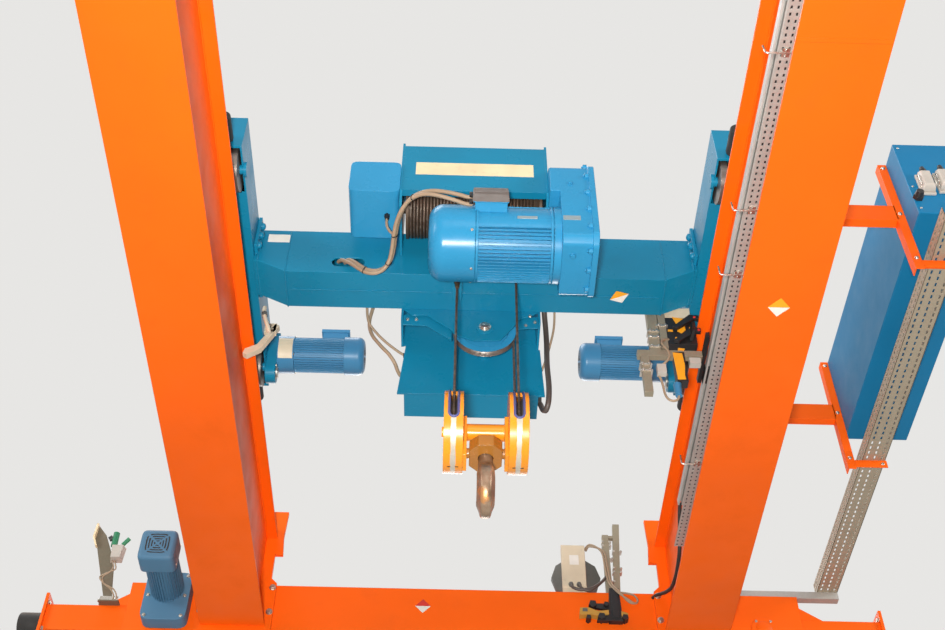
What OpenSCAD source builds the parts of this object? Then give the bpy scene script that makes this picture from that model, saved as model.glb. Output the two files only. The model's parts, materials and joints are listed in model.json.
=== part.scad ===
// Double girder overhead bridge crane with crab, wire rope hoist and hook block.
// X runs across the bridge along the end carriages, Y runs along the girders, Z is up.
// The origin is the centre of the plane in which the runway wheels touch their rails.

/* [Bridge] */
// Distance between the two runway rails, along the girders
span = 10000; // [8000:100:14000]
// Distance between the centre lines of the two girders
girder_spacing = 2240; // [2200:10:2400]
// Width of the girder flanges
girder_w = 310; // [290:5:330]
// Height of a girder over both flanges
girder_h = 536; // [480:4:600]
// Thickness of the girder flanges
flange_t = 10; // [6:1:16]
// Thickness of the girder webs
web_t = 6; // [5:1:10]
// Distance from the flange edge to the face of the web
flange_overhang = 53; // [40:1:60]
// Height of the girder's underside above the runway rail
girder_z = 96; // [80:2:110]
// Thickness of the plates that close the girder ends
end_plate_t = 20; // [15:1:30]

/* [Crab rails] */
// Distance between the centre lines of the two crab rails
crab_gauge = 2040; // [2030:2:2050]
// Width of a crab rail
rail_w = 50; // [40:2:54]
// Height of a crab rail
rail_h = 50; // [40:2:60]

/* [End carriages] */
// Width of the body of an end carriage
carriage_w = 250; // [230:5:300]
// Height of the underside of the body above the runway rail
carriage_z = 42; // [35:1:60]
// Height of the body of an end carriage
carriage_h = 303; // [290:2:330]
// Length of the body of an end carriage
carriage_len = 3300; // [3260:10:3400]
// Distance from the end of the body to the axle of its runway wheel
runway_inset = 190; // [190:2:240]
// Tread diameter of a runway wheel
wheel_d = 315; // [300:5:325]
// Length of the narrow extension at each end of the body
extension_len = 400; // [300:10:500]
// Diameter of the rubber end buffers
buffer_d = 125; // [100:5:140]
// Length of the rubber end buffers
buffer_len = 120; // [80:5:160]

/* [Bridge travel drive] */
// Diameter of the travel motors
travel_motor_d = 160; // [140:2:175]
// Length of the travel motors with their fan covers
travel_motor_len = 360; // [320:10:420]

/* [Crab] */
// Place of the middle of the crab along the girders at rest
crab_y = 3200; // [0:50:3400]
// Distance from the end of a side frame to the axle of its wheel
wheel_inset = 120; // [110:2:140]
// Tread diameter of a crab wheel
crab_wheel_d = 160; // [150:2:170]
// Width of a crab wheel over both flanges
crab_wheel_w = 112; // [104:2:114]
// Length of a crab side frame
crab_frame_len = 1360; // [1320:10:1500]
// Width of a crab side frame
crab_frame_w = 144; // [136:2:150]
// Height of a crab side frame
crab_frame_h = 200; // [180:2:230]
// Width of the crossbeam
crossbeam_w = 200; // [190:2:202]
// Height of the crossbeam
crossbeam_h = 270; // [250:2:290]
// Height of the crossbeam's underside above the runway rail
crossbeam_z = 668; // [660:2:680]

/* [Hoist] */
// Diameter of the hoisting rope
rope_d = 11; // [9:0.5:13]
// Radius of the rope sheaves at the middle of the rope
sheave_r = 123; // [118:1:126]
// Width of the rope sheaves
sheave_w = 30; // [28:1:32]
// Radius of the rope drum at the middle of the rope
drum_r = 125; // [115:1:128]
// Pitch of the rope grooves on the drum
groove_pitch = 14; // [14:1:20]
// Place of the hook across the bridge
hook_x = 45; // [30:5:60]
// Diameter of the hoist motor's fan cover
hoist_motor_d = 316; // [300:2:318]
// Number of cooling fins round the hoist motor
motor_fins = 60; // [24:2:72]

/* [Hook block] */
// Height of the block's sheave axle above the runway rail at rest
block_z = -132; // [-300:2:-120]
// Outer diameter of the sheave guards
guard_d = 316; // [312:2:320]
// Width of a sheave guard
guard_w = 74; // [70:2:84]
// Radius of the inside of the hook
hook_r = 38; // [32:1:42]
// Greatest thickness of the hook, across its plane
hook_t = 70; // [56:2:76]

/* [Control cabinet] */
// Length of the cabinet along the bridge
cabinet_len = 1320; // [1240:10:1500]
// Height of the cabinet
cabinet_h = 464; // [420:4:520]
// Depth of the cabinet
cabinet_d = 284; // [240:4:320]

/* [Hidden] */
$fn = 48;
fine = 96;

// Bridge
girder_x = girder_spacing / 2;
girder_top = girder_z + girder_h;
flange_in = girder_x - girder_w / 2;
flange_out = girder_x + girder_w / 2;
web_face = flange_in + flange_overhang;
carriage_in = span / 2 - carriage_w / 2;
carriage_mid = span / 2;
carriage_top = carriage_z + carriage_h;
girder_end = carriage_in - end_plate_t;
head_reach = 30;
ear_reach = 40;
ear_low = 112;
ear_high = 160;

// Crab rails
rail_x = crab_gauge / 2;
rail_top = girder_top + rail_h;
rail_end = girder_end - 5;

// End carriages
body_x = carriage_len / 2;
side_t = 8;
cover_t = 10;
wheel_x = body_x - runway_inset;
wheel_z = wheel_d / 2;
wheel_w = 120;
wheel_flange = 20;
pocket_len = wheel_d + 2 * wheel_flange + 30;
extension_w = 160;
extension_z = carriage_z + 53;
extension_h = 143;
buffer_plate_t = 15;
buffer_z = extension_z + extension_h / 2;
plate_x = body_x + extension_len;
buffer_x = plate_x + buffer_plate_t;

// Bridge travel drive
drive_from_girder = 330;
drive_x = -girder_x - drive_from_girder;
drive_box_w = 220;
drive_box_t = 80;
drive_axis_z = 254;

// Crab
crab_wheel_base = crab_frame_len - 2 * wheel_inset;
frame_in = rail_x - crab_frame_w / 2;
frame_out = rail_x + crab_frame_w / 2;
frame_z = rail_top + 73;
frame_top = frame_z + crab_frame_h;
frame_t = 8;
roll_gap = 0.3;
crab_axle_z = rail_top + crab_wheel_d / 2 + roll_gap;
crab_axle_d = 40;
axle_gap = 0.5;
tread_w = rail_w + 10;
wheel_lip = 12;
cap_t = 12;
cap_d = 62;
crab_buffer_len = 120;
crab_buffer_d = 70;
flange_plate_t = 15;
beam_x = frame_in - flange_plate_t;
beam_front = crab_y - 7 - crossbeam_w / 2;
beam_back = beam_front + crossbeam_w;
beam_top = crossbeam_z + crossbeam_h;
drive_box_x = 48;
drive_box_y = 100;
drive_box_low = 80;
drive_box_high = 15;
drive_rise = 82;
housing_d = 175;
housing_len = 75;
stator_d = 163;
stator_len = 231;
drive_fan_d = 178;
drive_fan_len = 93;
terminal_len = 115;
terminal_w = 100;
terminal_h = 35;
lid_t = 18;
slot_left = -586;
slot_right = -502;
slot_d = 56;
beam_flange = 50;
haunch = 127;
haunch_rise = 67;
beam_t = 8;
slot_z = crossbeam_z + 69;

// Rope and sheaves
near_y = beam_front - 19;
block_y = near_y + sheave_r;
far_y = near_y + 2 * sheave_r;
fall_left = hook_x - sheave_r;
fall_right = hook_x + sheave_r;
sheave_rim = sheave_r + 11;
sheave_pin_d = 40;
upper_z = 560;

// Hoist
drum_y = near_y - drum_r;
drum_z = 935;
drum_left = -302;
drum_right = 272;
drum_shaft_d = 50;
lead_end = 58;
plate_left = -327;
plate_right = 285;
plate_t = 10;
frame_front = drum_y - 164;
frame_low = 790;
frame_high = 1180;
motor_y = near_y - 199;
motor_z = 615;
motor_r = hoist_motor_d / 2 - 2;
neck_left = 0;
neck_right = 110;
neck_half = 38;
neck_seat = 100;
box_turn = 25;
box_near = hoist_motor_d / 2 + 2;
box_far = box_near + 65;
fin_t = 3.5;
fin_depth = 18;
pad_angle = 170;
pad_half = 33;
seat_gap = 0.3;
fan_left = -198;
fan_right = -10;
motor_right = 306;
gear_left = plate_right + plate_t;
gear_right = 480;
gear_cover = 455;
gear_step = 335;
gear_front = near_y - 369;
gear_back = near_y - 36;
gear_low = 456;
gear_high = 1052;

// Sheave support behind the crossbeam
back_plate_y = far_y + 135;
back_plate_t = 8;
hanger_left = -316;
hanger_right = 275;
hanger_t = 10;
front_t = 6;
back_low = 320;
electric_box_t = 139;
electric_box_drop = 58;
hanger_low = 600;

// Hook block
guard_r = guard_d / 2;
guard_t = 6;
guard_in = guard_w / 2;
side_plate_t = 14;
side_plate_x = sheave_r - guard_in - side_plate_t;
crosshead_z = block_z - 106;
crosshead_h = 50;
trunnion_d = 40;
shank_d = 56;
hook_z = block_z - 279;
tube_d = 67;

// Cabinet
cabinet_x = 1726;
cabinet_z = 546;
cabinet_from_rail = 2395;
cabinet_y = carriage_mid - cabinet_from_rail;
post_w = 36;
post_t = 40;
post_low = carriage_top - 10;
post_y = [cabinet_y + 127, cabinet_y + cabinet_len - post_t / 2];
tray_x = 1760;
tray_w = 105;
tray_h = 60;
tray_t = 3;
channel_h = 40;
channel_y = carriage_in + 10;
tray_z = carriage_top + channel_h;
tray_start = cabinet_y - 105;

// Conductor rail on the right girder
strip_z = 200;
strip_t = 3;
strip_w = 69;
strip_end = girder_end - 555;
conductor_w = 24;
conductor_h = 33;
conductor_z = 401;
clip_len = 13;
conductor_x = web_face - clip_len - conductor_w;
collector_gap = 6;

// Routes of the two cables from the crossbeam to the hoist motor
motor_route = [[-560, 3105, 745], [-545, 3080, 735], [-520, 3063, 706], [-488, 3054, 668], [-452, 3050, 638],
    [-415, 3046, 630], [-380, 3034, 640], [-356, 3004, 662], [-345, 2960, 684], [-338, 2905, 700],
    [-328, 2850, 716], [-308, 2796, 730], [-276, 2750, 742], [-232, 2718, 742], [-184, 2698, 730],
    [-130, 2692, 716], [-78, 2692, 700], [-44, 2694, 689], [-25, 2694, 689]];
back_route = [[-588, 3105, 750], [-568, 3078, 730], [-527, 3057, 684], [-495, 3048, 646], [-459, 3044, 616],
    [-422, 3040, 608], [-387, 3028, 618], [-363, 2998, 640], [-352, 2954, 662], [-345, 2899, 678],
    [-335, 2844, 694], [-315, 2790, 708], [-283, 2744, 720], [-239, 2712, 718], [-191, 2698, 706],
    [-137, 2700, 692], [-85, 2704, 674], [-48, 2708, 661], [-25, 2708, 661]];
cable_d = 17;

// A straight block between two corners
module slab(low, high) {
    translate(low) cube(high - low);
}

// A round bar along X
module bar_x(d, x0, x1, y, z, sides = fine) {
    translate([x0, y, z]) rotate([0, 90, 0]) cylinder(d = d, h = x1 - x0, $fn = sides);
}

// A round bar along Y
module bar_y(d, y0, y1, x, z, sides = fine) {
    translate([x, y0, z]) rotate([-90, 0, 0]) cylinder(d = d, h = y1 - y0, $fn = sides);
}

// A plate with an outline in the YZ plane and its thickness along X
module plate_yz(x0, x1, outline) {
    translate([x0, 0, 0]) rotate([90, 0, 90]) linear_extrude(x1 - x0) polygon(outline);
}

// A plate with an outline in the XZ plane and its thickness along Y
module plate_xz(y0, y1, outline) {
    translate([0, y1, 0]) rotate([90, 0, 0]) linear_extrude(y1 - y0) polygon(outline);
}

// The children and their mirror image in the plane X = 0
module both_sides() {
    children();
    mirror([1, 0, 0]) children();
}

// The children and their mirror image in the plane Y = 0
module both_ends() {
    children();
    mirror([0, 1, 0]) children();
}

// An outline whose corners are rounded over a length r on each side
function rounded(p, r, n = 4) = [for (i = [0:len(p) - 1]) let (a = p[(i + len(p) - 1) % len(p)], b = p[i],
    c = p[(i + 1) % len(p)], u = (a - b) / norm(a - b), v = (c - b) / norm(c - b))
    for (k = [0:n]) let (t = k / n) b + r * ((1 - t) * (1 - t) * u + t * t * v)];

// Section of a stator: a round core with fins, which leave out a sector with a half width of pad degrees
module stator(r, depth, count, width, middle = 0, pad = 0) {
    circle(r = r - depth, $fn = fine);
    for (i = [0:count - 1]) {
        a = i * 360 / count;
        if (abs((a - middle + 540) % 360 - 180) >= pad)
            rotate(a) translate([r - depth - 6, -width / 2]) square([depth + 6, width]);
    }
}

// Half of the section of a hood with a rounded rim, round the Z axis
module hood_outline(r, depth, round_r) {
    square([r, depth - round_r]);
    square([r - round_r, depth]);
    intersection() {
        translate([r - round_r, depth - round_r]) circle(r = round_r, $fn = fine);
        square([r, depth]);
    }
}

// One box girder: two flanges and two webs, open at the ends behind the end plates
module girder() {
    slab([flange_in, -girder_end, girder_z], [flange_out, girder_end, girder_z + flange_t]);
    slab([flange_in, -girder_end, girder_top - flange_t], [flange_out, girder_end, girder_top]);
    for (x = [web_face, 2 * girder_x - web_face - web_t])
        slab([x, -girder_end, girder_z + flange_t], [x + web_t, girder_end, girder_top - flange_t]);
}

module left_girder() { color("darkorange") mirror([1, 0, 0]) girder(); }

module right_girder() { color("darkorange") girder(); }

// Wide at the foot for the bolts, with an ear above the rail that stops the crab
module girder_end_plates() {
    head_in = flange_in - head_reach;
    head_out = flange_out + head_reach;
    ear_in = flange_in - ear_reach;
    outline = [[head_in, girder_z - 36], [head_out, girder_z - 36], [head_out, carriage_top],
        [flange_out, carriage_top + 30], [flange_out, girder_top], [rail_x + 95, girder_top],
        [rail_x + 95, girder_top + ear_high], [ear_in, girder_top + ear_high], [ear_in + 8, girder_top],
        [ear_in, girder_top - ear_low], [flange_in, girder_top - ear_low], [flange_in, carriage_top + 30],
        [head_in, carriage_top]];
    color("darkorange") both_ends() both_sides() plate_xz(girder_end, carriage_in, outline);
}

module crab_rails() {
    color("dimgray") both_sides()
        slab([rail_x - rail_w / 2, -rail_end, girder_top], [rail_x + rail_w / 2, rail_end, rail_top]);
}

// End carriage at the far end of the girders: a hollow body with open wheel pockets and two extensions
module end_carriage() {
    difference() {
        slab([-body_x, carriage_in, carriage_z], [body_x, carriage_in + carriage_w, carriage_top]);
        slab([side_t - body_x, carriage_in + side_t, carriage_z + cover_t],
            [body_x - side_t, carriage_in + carriage_w - side_t, carriage_top - cover_t]);
        for (x = [-wheel_x, wheel_x])
            slab([x - pocket_len / 2, carriage_mid - wheel_w / 2 - 20, carriage_z - 1],
                [x + pocket_len / 2, carriage_mid + wheel_w / 2 + 20, carriage_z + cover_t + 1]);
    }
    both_sides() {
        difference() {
            slab([body_x, carriage_mid - extension_w / 2, extension_z],
                [plate_x, carriage_mid + extension_w / 2, extension_z + extension_h]);
            slab([body_x + 1, carriage_mid - extension_w / 2 + 6, extension_z + 6],
                [plate_x - 1, carriage_mid + extension_w / 2 - 6, extension_z + extension_h - 6]);
            bar_x(30, body_x + 60, body_x + 90, carriage_mid, extension_z, 24);
        }
        slab([plate_x, carriage_mid - extension_w / 2 - 20, extension_z - 35],
            [buffer_x, carriage_mid + extension_w / 2 + 20, extension_z + extension_h + 54]);
    }
}

module far_end_carriage() { color("darkorange") end_carriage(); }

module near_end_carriage() { color("darkorange") mirror([0, 1, 0]) end_carriage(); }

// Flanged wheels with their axles, which reach both side plates of the carriage
module runway_wheels() {
    color("dimgray") both_ends() both_sides() {
        bar_y(wheel_d, carriage_mid - wheel_w / 2, carriage_mid + wheel_w / 2, wheel_x, wheel_z);
        for (y = [carriage_mid - wheel_w / 2, carriage_mid + wheel_w / 2 - wheel_flange])
            bar_y(wheel_d + 2 * wheel_flange, y, y + wheel_flange, wheel_x, wheel_z);
        bar_y(70, carriage_in + side_t, carriage_in + carriage_w - side_t, wheel_x, wheel_z);
    }
}

module end_buffers() {
    color("black") both_ends() both_sides()
        bar_x(buffer_d, buffer_x, buffer_x + buffer_len, carriage_mid, buffer_z);
}

module travel_gearboxes() {
    low = carriage_z + 40;
    high = drive_axis_z + 100;
    left = drive_x - drive_box_w / 2;
    right = drive_x + drive_box_w / 2;
    color("steelblue") both_ends()
        plate_xz(carriage_in - drive_box_t, carriage_in, rounded([[left, low], [right, low], [right, high],
            [left, high]], 45));
}

// Finned stator and square fan cover with rounded corners
module travel_motors() {
    hood = travel_motor_d / 2 + 5;
    hood_len = 110;
    color("steelblue") both_ends()
        translate([drive_x, carriage_in - drive_box_t, drive_axis_z]) rotate([90, 0, 0]) {
            linear_extrude(travel_motor_len - hood_len) stator(travel_motor_d / 2, 10, 36, 3);
            translate([0, 0, travel_motor_len - hood_len]) linear_extrude(hood_len)
                polygon(rounded([[-hood, -hood], [hood, -hood], [hood, hood], [-hood, hood]], 30));
        }
}

module control_cabinet() {
    color("royalblue") slab([cabinet_x, cabinet_y, cabinet_z],
        [cabinet_x + cabinet_d, cabinet_y + cabinet_len, cabinet_z + cabinet_h]);
}

// Two posts, each with an arm from the top of the girder and an arm under the cable tray
module cabinet_brackets() {
    arm_start = frame_out + cap_t + 26;
    color("darkorange") for (y = post_y) {
        slab([cabinet_x - post_w, y - post_t / 2, post_low], [cabinet_x, y + post_t / 2, cabinet_z + cabinet_h]);
        slab([arm_start, y - post_t / 2, girder_top], [cabinet_x - post_w, y + post_t / 2, girder_top + 95]);
        slab([cabinet_x, y - post_t / 2, tray_z - 40], [tray_x + tray_w + 5, y + post_t / 2, tray_z]);
    }
}

module cabinet_connectors() {
    color("lightgray") for (i = [0:2])
        slab([cabinet_x + 40 + i * 75, cabinet_y - 45, cabinet_z + 120],
            [cabinet_x + 95 + i * 75, cabinet_y, cabinet_z + 230]);
}

// A perforated tray: a floor and two sides
module cable_tray() {
    tray_end = channel_y + 25;
    color("darkkhaki") difference() {
        slab([tray_x, tray_start, tray_z], [tray_x + tray_w, tray_end, tray_z + tray_h]);
        slab([tray_x + tray_t, tray_start - 1, tray_z + tray_t],
            [tray_x + tray_w - tray_t, tray_end + 1, tray_z + tray_h + 1]);
    }
}

module tray_channel() {
    channel_start = flange_out + head_reach + 8;
    color("darkkhaki") difference() {
        slab([channel_start, channel_y, carriage_top], [tray_x + tray_w, channel_y + 40, tray_z]);
        slab([channel_start - 1, channel_y + 3, carriage_top + 3], [tray_x + tray_w + 1, channel_y + 41, tray_z - 3]);
    }
}

// A slotted profile that carries the current to the crab
module conductor_rail() {
    color("lightgray") difference() {
        slab([conductor_x, -strip_end + 50, conductor_z], [conductor_x + conductor_w, strip_end - 50,
            conductor_z + conductor_h]);
        slab([conductor_x + 7, -strip_end, conductor_z - 1],
            [conductor_x + conductor_w - 7, strip_end, conductor_z + conductor_h - 9]);
    }
}

// An angle low on the inner web of the right girder, and the clips that hold the conductor rail above it
module conductor_strip() {
    clips = 9;
    clip_step = 2 * (strip_end - 250) / (clips - 1);
    color("darkkhaki") {
        slab([web_face - strip_w, -strip_end, strip_z], [web_face, strip_end, strip_z + strip_t]);
        slab([web_face - strip_t, -strip_end, strip_z], [web_face, strip_end, strip_z + 50]);
        for (i = [0:clips - 1]) {
            y = 250 - strip_end + i * clip_step;
            slab([conductor_x + conductor_w, y - 20, conductor_z + 8],
                [web_face, y + 20, conductor_z + conductor_h - 8]);
        }
    }
}

// Bars on the far end carriage that carry the current collectors of the runway
module supply_post() {
    color("darkkhaki") {
        for (x = [715, 748])
            slab([x, channel_y, carriage_top], [x + 20, channel_y + 20, 780]);
        slab([715, channel_y, 700], [768, channel_y + 20, 720]);
    }
    color("black") slab([553, carriage_in - 45, 160], [794, carriage_in, 230]);
}

module junction_box() {
    color("gray") bar_y(250, channel_y + 40, channel_y + 75, 560, carriage_top + 125);
    color("beige") slab([488, channel_y, carriage_top], [606, channel_y + 40, carriage_top + 300]);
}

module photocell_bracket() {
    color("gray") translate([-1745, carriage_mid - 60, extension_z + extension_h])
        slab([-45, 0, 0], [45, 5, 500]);
}

// One side frame of the crab: a hollow box that is open underneath round the wheels
module crab_frame() {
    near = crab_y - crab_frame_len / 2;
    far = crab_y + crab_frame_len / 2;
    difference() {
        slab([frame_in, near, frame_z], [frame_out, far, frame_top]);
        slab([frame_in + frame_t, near + frame_t, frame_z + frame_t],
            [frame_out - frame_t, far - frame_t, frame_top - frame_t]);
        for (side = [-1, 1]) {
            y = crab_y + side * crab_wheel_base / 2;
            slab([frame_in + frame_t, y - 108, frame_z - 1], [frame_out - frame_t, y + 108, frame_z + frame_t + 1]);
            bar_x(crab_axle_d, frame_in - 1, frame_out + 1, y, crab_axle_z, 48);
        }
    }
}

module left_crab_frame() { color("teal") mirror([1, 0, 0]) crab_frame(); }

module right_crab_frame() { color("teal") crab_frame(); }

// Fixed axles with a cap on each side plate; the driven ones end in the gearboxes
module crab_axles() {
    color("teal") both_sides() for (side = [-1, 1]) {
        y = crab_y + side * crab_wheel_base / 2;
        inner = side < 0 ? frame_in - cap_t : frame_in;
        bar_x(crab_axle_d, inner, frame_out + cap_t, y, crab_axle_z, 48);
        bar_x(cap_d, frame_out, frame_out + cap_t, y, crab_axle_z);
        if (side < 0)
            bar_x(cap_d, frame_in - cap_t, frame_in, y, crab_axle_z);
    }
}

module crab_buffers() {
    color("black") both_sides() for (side = [-1, 1]) {
        face = crab_y + side * crab_frame_len / 2;
        y = side < 0 ? face - crab_buffer_len : face;
        bar_y(crab_buffer_d, y, y + crab_buffer_len, rail_x, frame_z + crab_buffer_d / 2 + 3);
    }
}

// The crossbeam: a hollow box with raised ends and a bolted plate at each end
module crossbeam() {
    bend = beam_x - haunch;
    outline = [[-beam_x, crossbeam_z + haunch_rise], [-bend, crossbeam_z], [bend, crossbeam_z],
        [beam_x, crossbeam_z + haunch_rise], [beam_x, beam_top], [-beam_x, beam_top]];
    hollow = [[-beam_x - 1, crossbeam_z + haunch_rise + beam_t + 1], [-bend, crossbeam_z + beam_t],
        [bend, crossbeam_z + beam_t], [beam_x + 1, crossbeam_z + haunch_rise + beam_t + 1],
        [beam_x + 1, beam_top - beam_t], [-beam_x - 1, beam_top - beam_t]];
    color("teal") {
        difference() {
            plate_xz(beam_front, beam_back, outline);
            plate_xz(beam_front + beam_t, beam_back - beam_t, hollow);
            for (x = [slot_left, slot_right])
                bar_y(slot_d, beam_front - 1, beam_front + beam_t + 1, x, slot_z, 24);
            slab([slot_left, beam_front - 1, slot_z - slot_d / 2],
                [slot_right, beam_front + beam_t + 1, slot_z + slot_d / 2]);
        }
        both_sides() {
            slab([beam_x, beam_front - beam_flange, frame_z + 20], [frame_in, beam_back + beam_flange, frame_top + 10]);
            slab([beam_x, beam_front, crossbeam_z + haunch_rise], [frame_in, beam_back, frame_z + 20]);
        }
    }
}

// Flat gearboxes on the inner side plates, rounded below round the wheel axles
module crab_drive_gearboxes() {
    y = crab_y + crab_wheel_base / 2;
    r = drive_box_y / 2;
    low = frame_z - drive_box_low;
    foot = [for (k = [0:16]) [y + r * cos(180 + k * 180 / 16), low + r + r * sin(180 + k * 180 / 16)]];
    color("teal") both_sides()
        plate_yz(frame_in - drive_box_x, frame_in, concat(foot, [[y + r, frame_top - drive_box_high],
            [y - r, frame_top - drive_box_high]]));
}

// Drive end, finned stator and rounded fan cover, with the terminal box on top
module crab_drive_motors() {
    y = crab_y + crab_wheel_base / 2;
    z = crab_axle_z + drive_rise;
    face = frame_in - drive_box_x;
    fan_x = face - housing_len - stator_len;
    box_z = z + stator_d / 2 - 15;
    color("steelblue") both_sides() {
        bar_x(housing_d, face - housing_len, face, y, z);
        translate([fan_x, y, z]) rotate([90, 0, 90]) linear_extrude(stator_len) stator(stator_d / 2, 9, 40, 3);
        translate([fan_x, y, z]) rotate([0, -90, 0])
            rotate_extrude($fn = fine) hood_outline(drive_fan_d / 2, drive_fan_len, 30);
        slab([fan_x - 9, y - terminal_w / 2, box_z], [fan_x - 9 + terminal_len, y + terminal_w / 2, box_z + terminal_h]);
        slab([fan_x - 17, y - terminal_w / 2 - 7, box_z + terminal_h],
            [fan_x - 1 + terminal_len, y + terminal_w / 2 + 7, box_z + terminal_h + lid_t]);
    }
}

// Two side plates on the front of the crossbeam, joined by tie bars
module hoist_frame() {
    outline = [[frame_front, frame_low + 60], [frame_front + 40, frame_low], [beam_front, frame_low],
        [beam_front, frame_high], [frame_front, frame_high]];
    color("teal") {
        difference() {
            for (x = [plate_left, plate_right])
                plate_yz(x, x + plate_t, outline);
            bar_x(drum_shaft_d + 2 * axle_gap, plate_left - 1, plate_right + plate_t + 1, drum_y, drum_z);
        }
        for (y = [frame_front + 40, beam_front - 40])
            bar_x(24, plate_left + plate_t, plate_right, y, frame_high - 40, 48);
    }
}

// The drum cover: front sheet, bottom lip and roof between the side plates
module hoist_cover() {
    low = frame_low + 60;
    high = frame_high - 18;
    outline = [[frame_front, low], [frame_front + 34, low], [frame_front + 34, low + 3],
        [frame_front + 3, low + 3], [frame_front + 3, high - 3], [beam_front - 4, high - 3],
        [beam_front - 4, high], [frame_front, high]];
    color("teal") plate_yz(plate_left + plate_t, plate_right, outline);
}

// Outline of the hoist gearbox, pulled in by an inset
function gear_outline(inset) = [[gear_front + 40, gear_low + inset], [gear_back - 30, gear_low + inset],
    [gear_back - inset, gear_low + 30], [gear_back - inset, gear_high - inset],
    [gear_front + 160, gear_high - inset], [gear_front + 30 + inset, gear_low + 519 - inset / 2],
    [gear_front + inset, gear_low + 480], [gear_front + inset, gear_low + 40]];

// Cast housing with a wider cover flange on its outer side
module hoist_gearbox() {
    color("deepskyblue") difference() {
        union() {
            plate_yz(gear_left, gear_cover, rounded(gear_outline(10), 12));
            plate_yz(gear_cover, gear_right, rounded(gear_outline(0), 14));
        }
        slab([gear_left - 1, gear_front - 1, gear_low - 1], [gear_step, gear_back + 1, frame_low - 12]);
        bar_x(drum_shaft_d + 2 * axle_gap, gear_left - 1, gear_left + 60, drum_y, drum_z);
    }
}

// The children in the frame of the terminal box, which is turned up on the front of the motor
module box_frame() {
    translate([0, motor_y, motor_z]) rotate([-box_turn, 0, 0]) children();
}

// Finned stator with a smooth pad under the terminal box, and the flange that joins it to the gearbox
module hoist_motor() {
    pad_r = motor_r - 6;
    pad = [for (k = [0:12]) let (a = pad_angle - pad_half + k * pad_half / 6) pad_r * [cos(a), sin(a)]];
    color("deepskyblue") {
        difference() {
            translate([fan_right, motor_y, motor_z]) rotate([90, 0, 90])
                linear_extrude(motor_right - fan_right) {
                    stator(motor_r, fin_depth, motor_fins, fin_t, pad_angle, pad_half);
                    polygon(concat([[0, 0]], pad));
                }
            box_frame() slab([neck_left - seat_gap, -motor_r - 5, -neck_half - seat_gap],
                [neck_right + seat_gap, -neck_seat, neck_half + seat_gap]);
        }
        bar_x(hoist_motor_d, motor_right, gear_step, motor_y, motor_z);
    }
}

module motor_fan_cover() {
    r = hoist_motor_d / 2;
    round_r = 60;
    depth = fan_right - fan_left;
    color("deepskyblue") translate([fan_right, motor_y, motor_z]) rotate([0, -90, 0])
        rotate_extrude($fn = fine) difference() {
            hood_outline(r, depth, round_r);
            square([r - 4, depth - round_r]);
        }
}

module motor_terminal_box() {
    box_frame() {
        color("dimgray") slab([neck_left - 25, -box_far, -neck_half - 7], [neck_right + 15, -box_near, neck_half + 7]);
        color("deepskyblue") slab([neck_left, -box_near, -neck_half], [neck_right, -neck_seat - seat_gap, neck_half]);
    }
}

module hoist_switch_box() {
    left = -540;
    low = drum_z - 115;
    high = low + 206;
    color("deepskyblue") difference() {
        plate_xz(frame_front - 10, frame_front + 239, rounded([[left, low], [plate_left, low], [plate_left, high],
            [left, high]], 30));
        bar_x(drum_shaft_d + 2 * axle_gap, plate_left - 40, plate_left + 1, drum_y, drum_z);
    }
}

// The bracket under the crossbeam in which the dead end of the rope is held
module rope_anchor() {
    color("peru") {
        slab([fall_left - 40, near_y - 30, crossbeam_z - 14], [fall_left + 40, beam_front + 90, crossbeam_z]);
        translate([fall_left, near_y, upper_z]) cylinder(d = 26, h = crossbeam_z - 14 - upper_z);
    }
}

// A front plate with the boss of the sheave pin and two side hangers that carry the back plate
module sheave_hangers() {
    left = hanger_left + hanger_t;
    low = crossbeam_z - 35;
    middle = [for (q = [[-148, -14], [-126, -45], [-52, -78], [65, -74], [124, 12], [140, 45]])
        [hook_x + q[0], upper_z + q[1]]];
    front = concat([[left, beam_top - 60], [left, low + 32], [left + 36, low - 3], [left + 100, low]], middle,
        [[hanger_right - 68, low], [hanger_right - 47, low], [hanger_right, low + 32], [hanger_right, beam_top - 60]]);
    color("teal") {
        plate_xz(beam_back, beam_back + front_t, front);
        bar_y(75, beam_back - 6, beam_back, hook_x, upper_z);
        for (x = [hanger_left, hanger_right])
            slab([x, beam_back, hanger_low], [x + hanger_t, back_plate_y, beam_top - 20]);
    }
}

// The plate behind the sheave, with the pin on which the sheave turns
module sheave_back_plate() {
    right = hanger_right + hanger_t;
    outline = [[hanger_left - 5, back_low - 2], [right + 19, back_low + 1], [right + 6, hanger_low],
        [right, hanger_low], [right, beam_top - 20], [hanger_left, beam_top - 20], [hanger_left, hanger_low + 11],
        [hanger_left + 20, hanger_low + 11]];
    color("teal") plate_xz(back_plate_y, back_plate_y + back_plate_t, outline);
    color("silver") {
        bar_y(sheave_pin_d, beam_back + front_t, back_plate_y, hook_x, upper_z);
        bar_y(60, far_y + sheave_w / 2 + 5, back_plate_y, hook_x, upper_z);
    }
}

// Bent straps beside the upper sheave that keep the rope in its groove
module rope_guards() {
    y = far_y - 10;
    inner = hanger_left + hanger_t;
    reach = sheave_rim + 7;
    left = [[inner, upper_z + 91], [inner + 100, upper_z + 94], [hook_x - reach - 7, upper_z + 7],
        [hook_x - reach, upper_z - 14], [hook_x - reach, upper_z - 67], [inner + 99, upper_z + 25],
        [inner, upper_z + 28]];
    right = [[hook_x + reach + 2, upper_z + 17], [hanger_right - 42, upper_z + 24], [hanger_right, upper_z + 24],
        [hanger_right, upper_z + 95], [hanger_right - 67, upper_z + 94], [hook_x + reach - 1, upper_z + 66]];
    color("teal") {
        plate_xz(y, y + 6, left);
        plate_xz(y, y + 6, right);
    }
}

module crab_electric_box() {
    y = back_plate_y + back_plate_t;
    color("teal") slab([hanger_left + 24, y, back_low + 4],
        [hanger_right + 2, y + electric_box_t, beam_top - electric_box_drop]);
}

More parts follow.
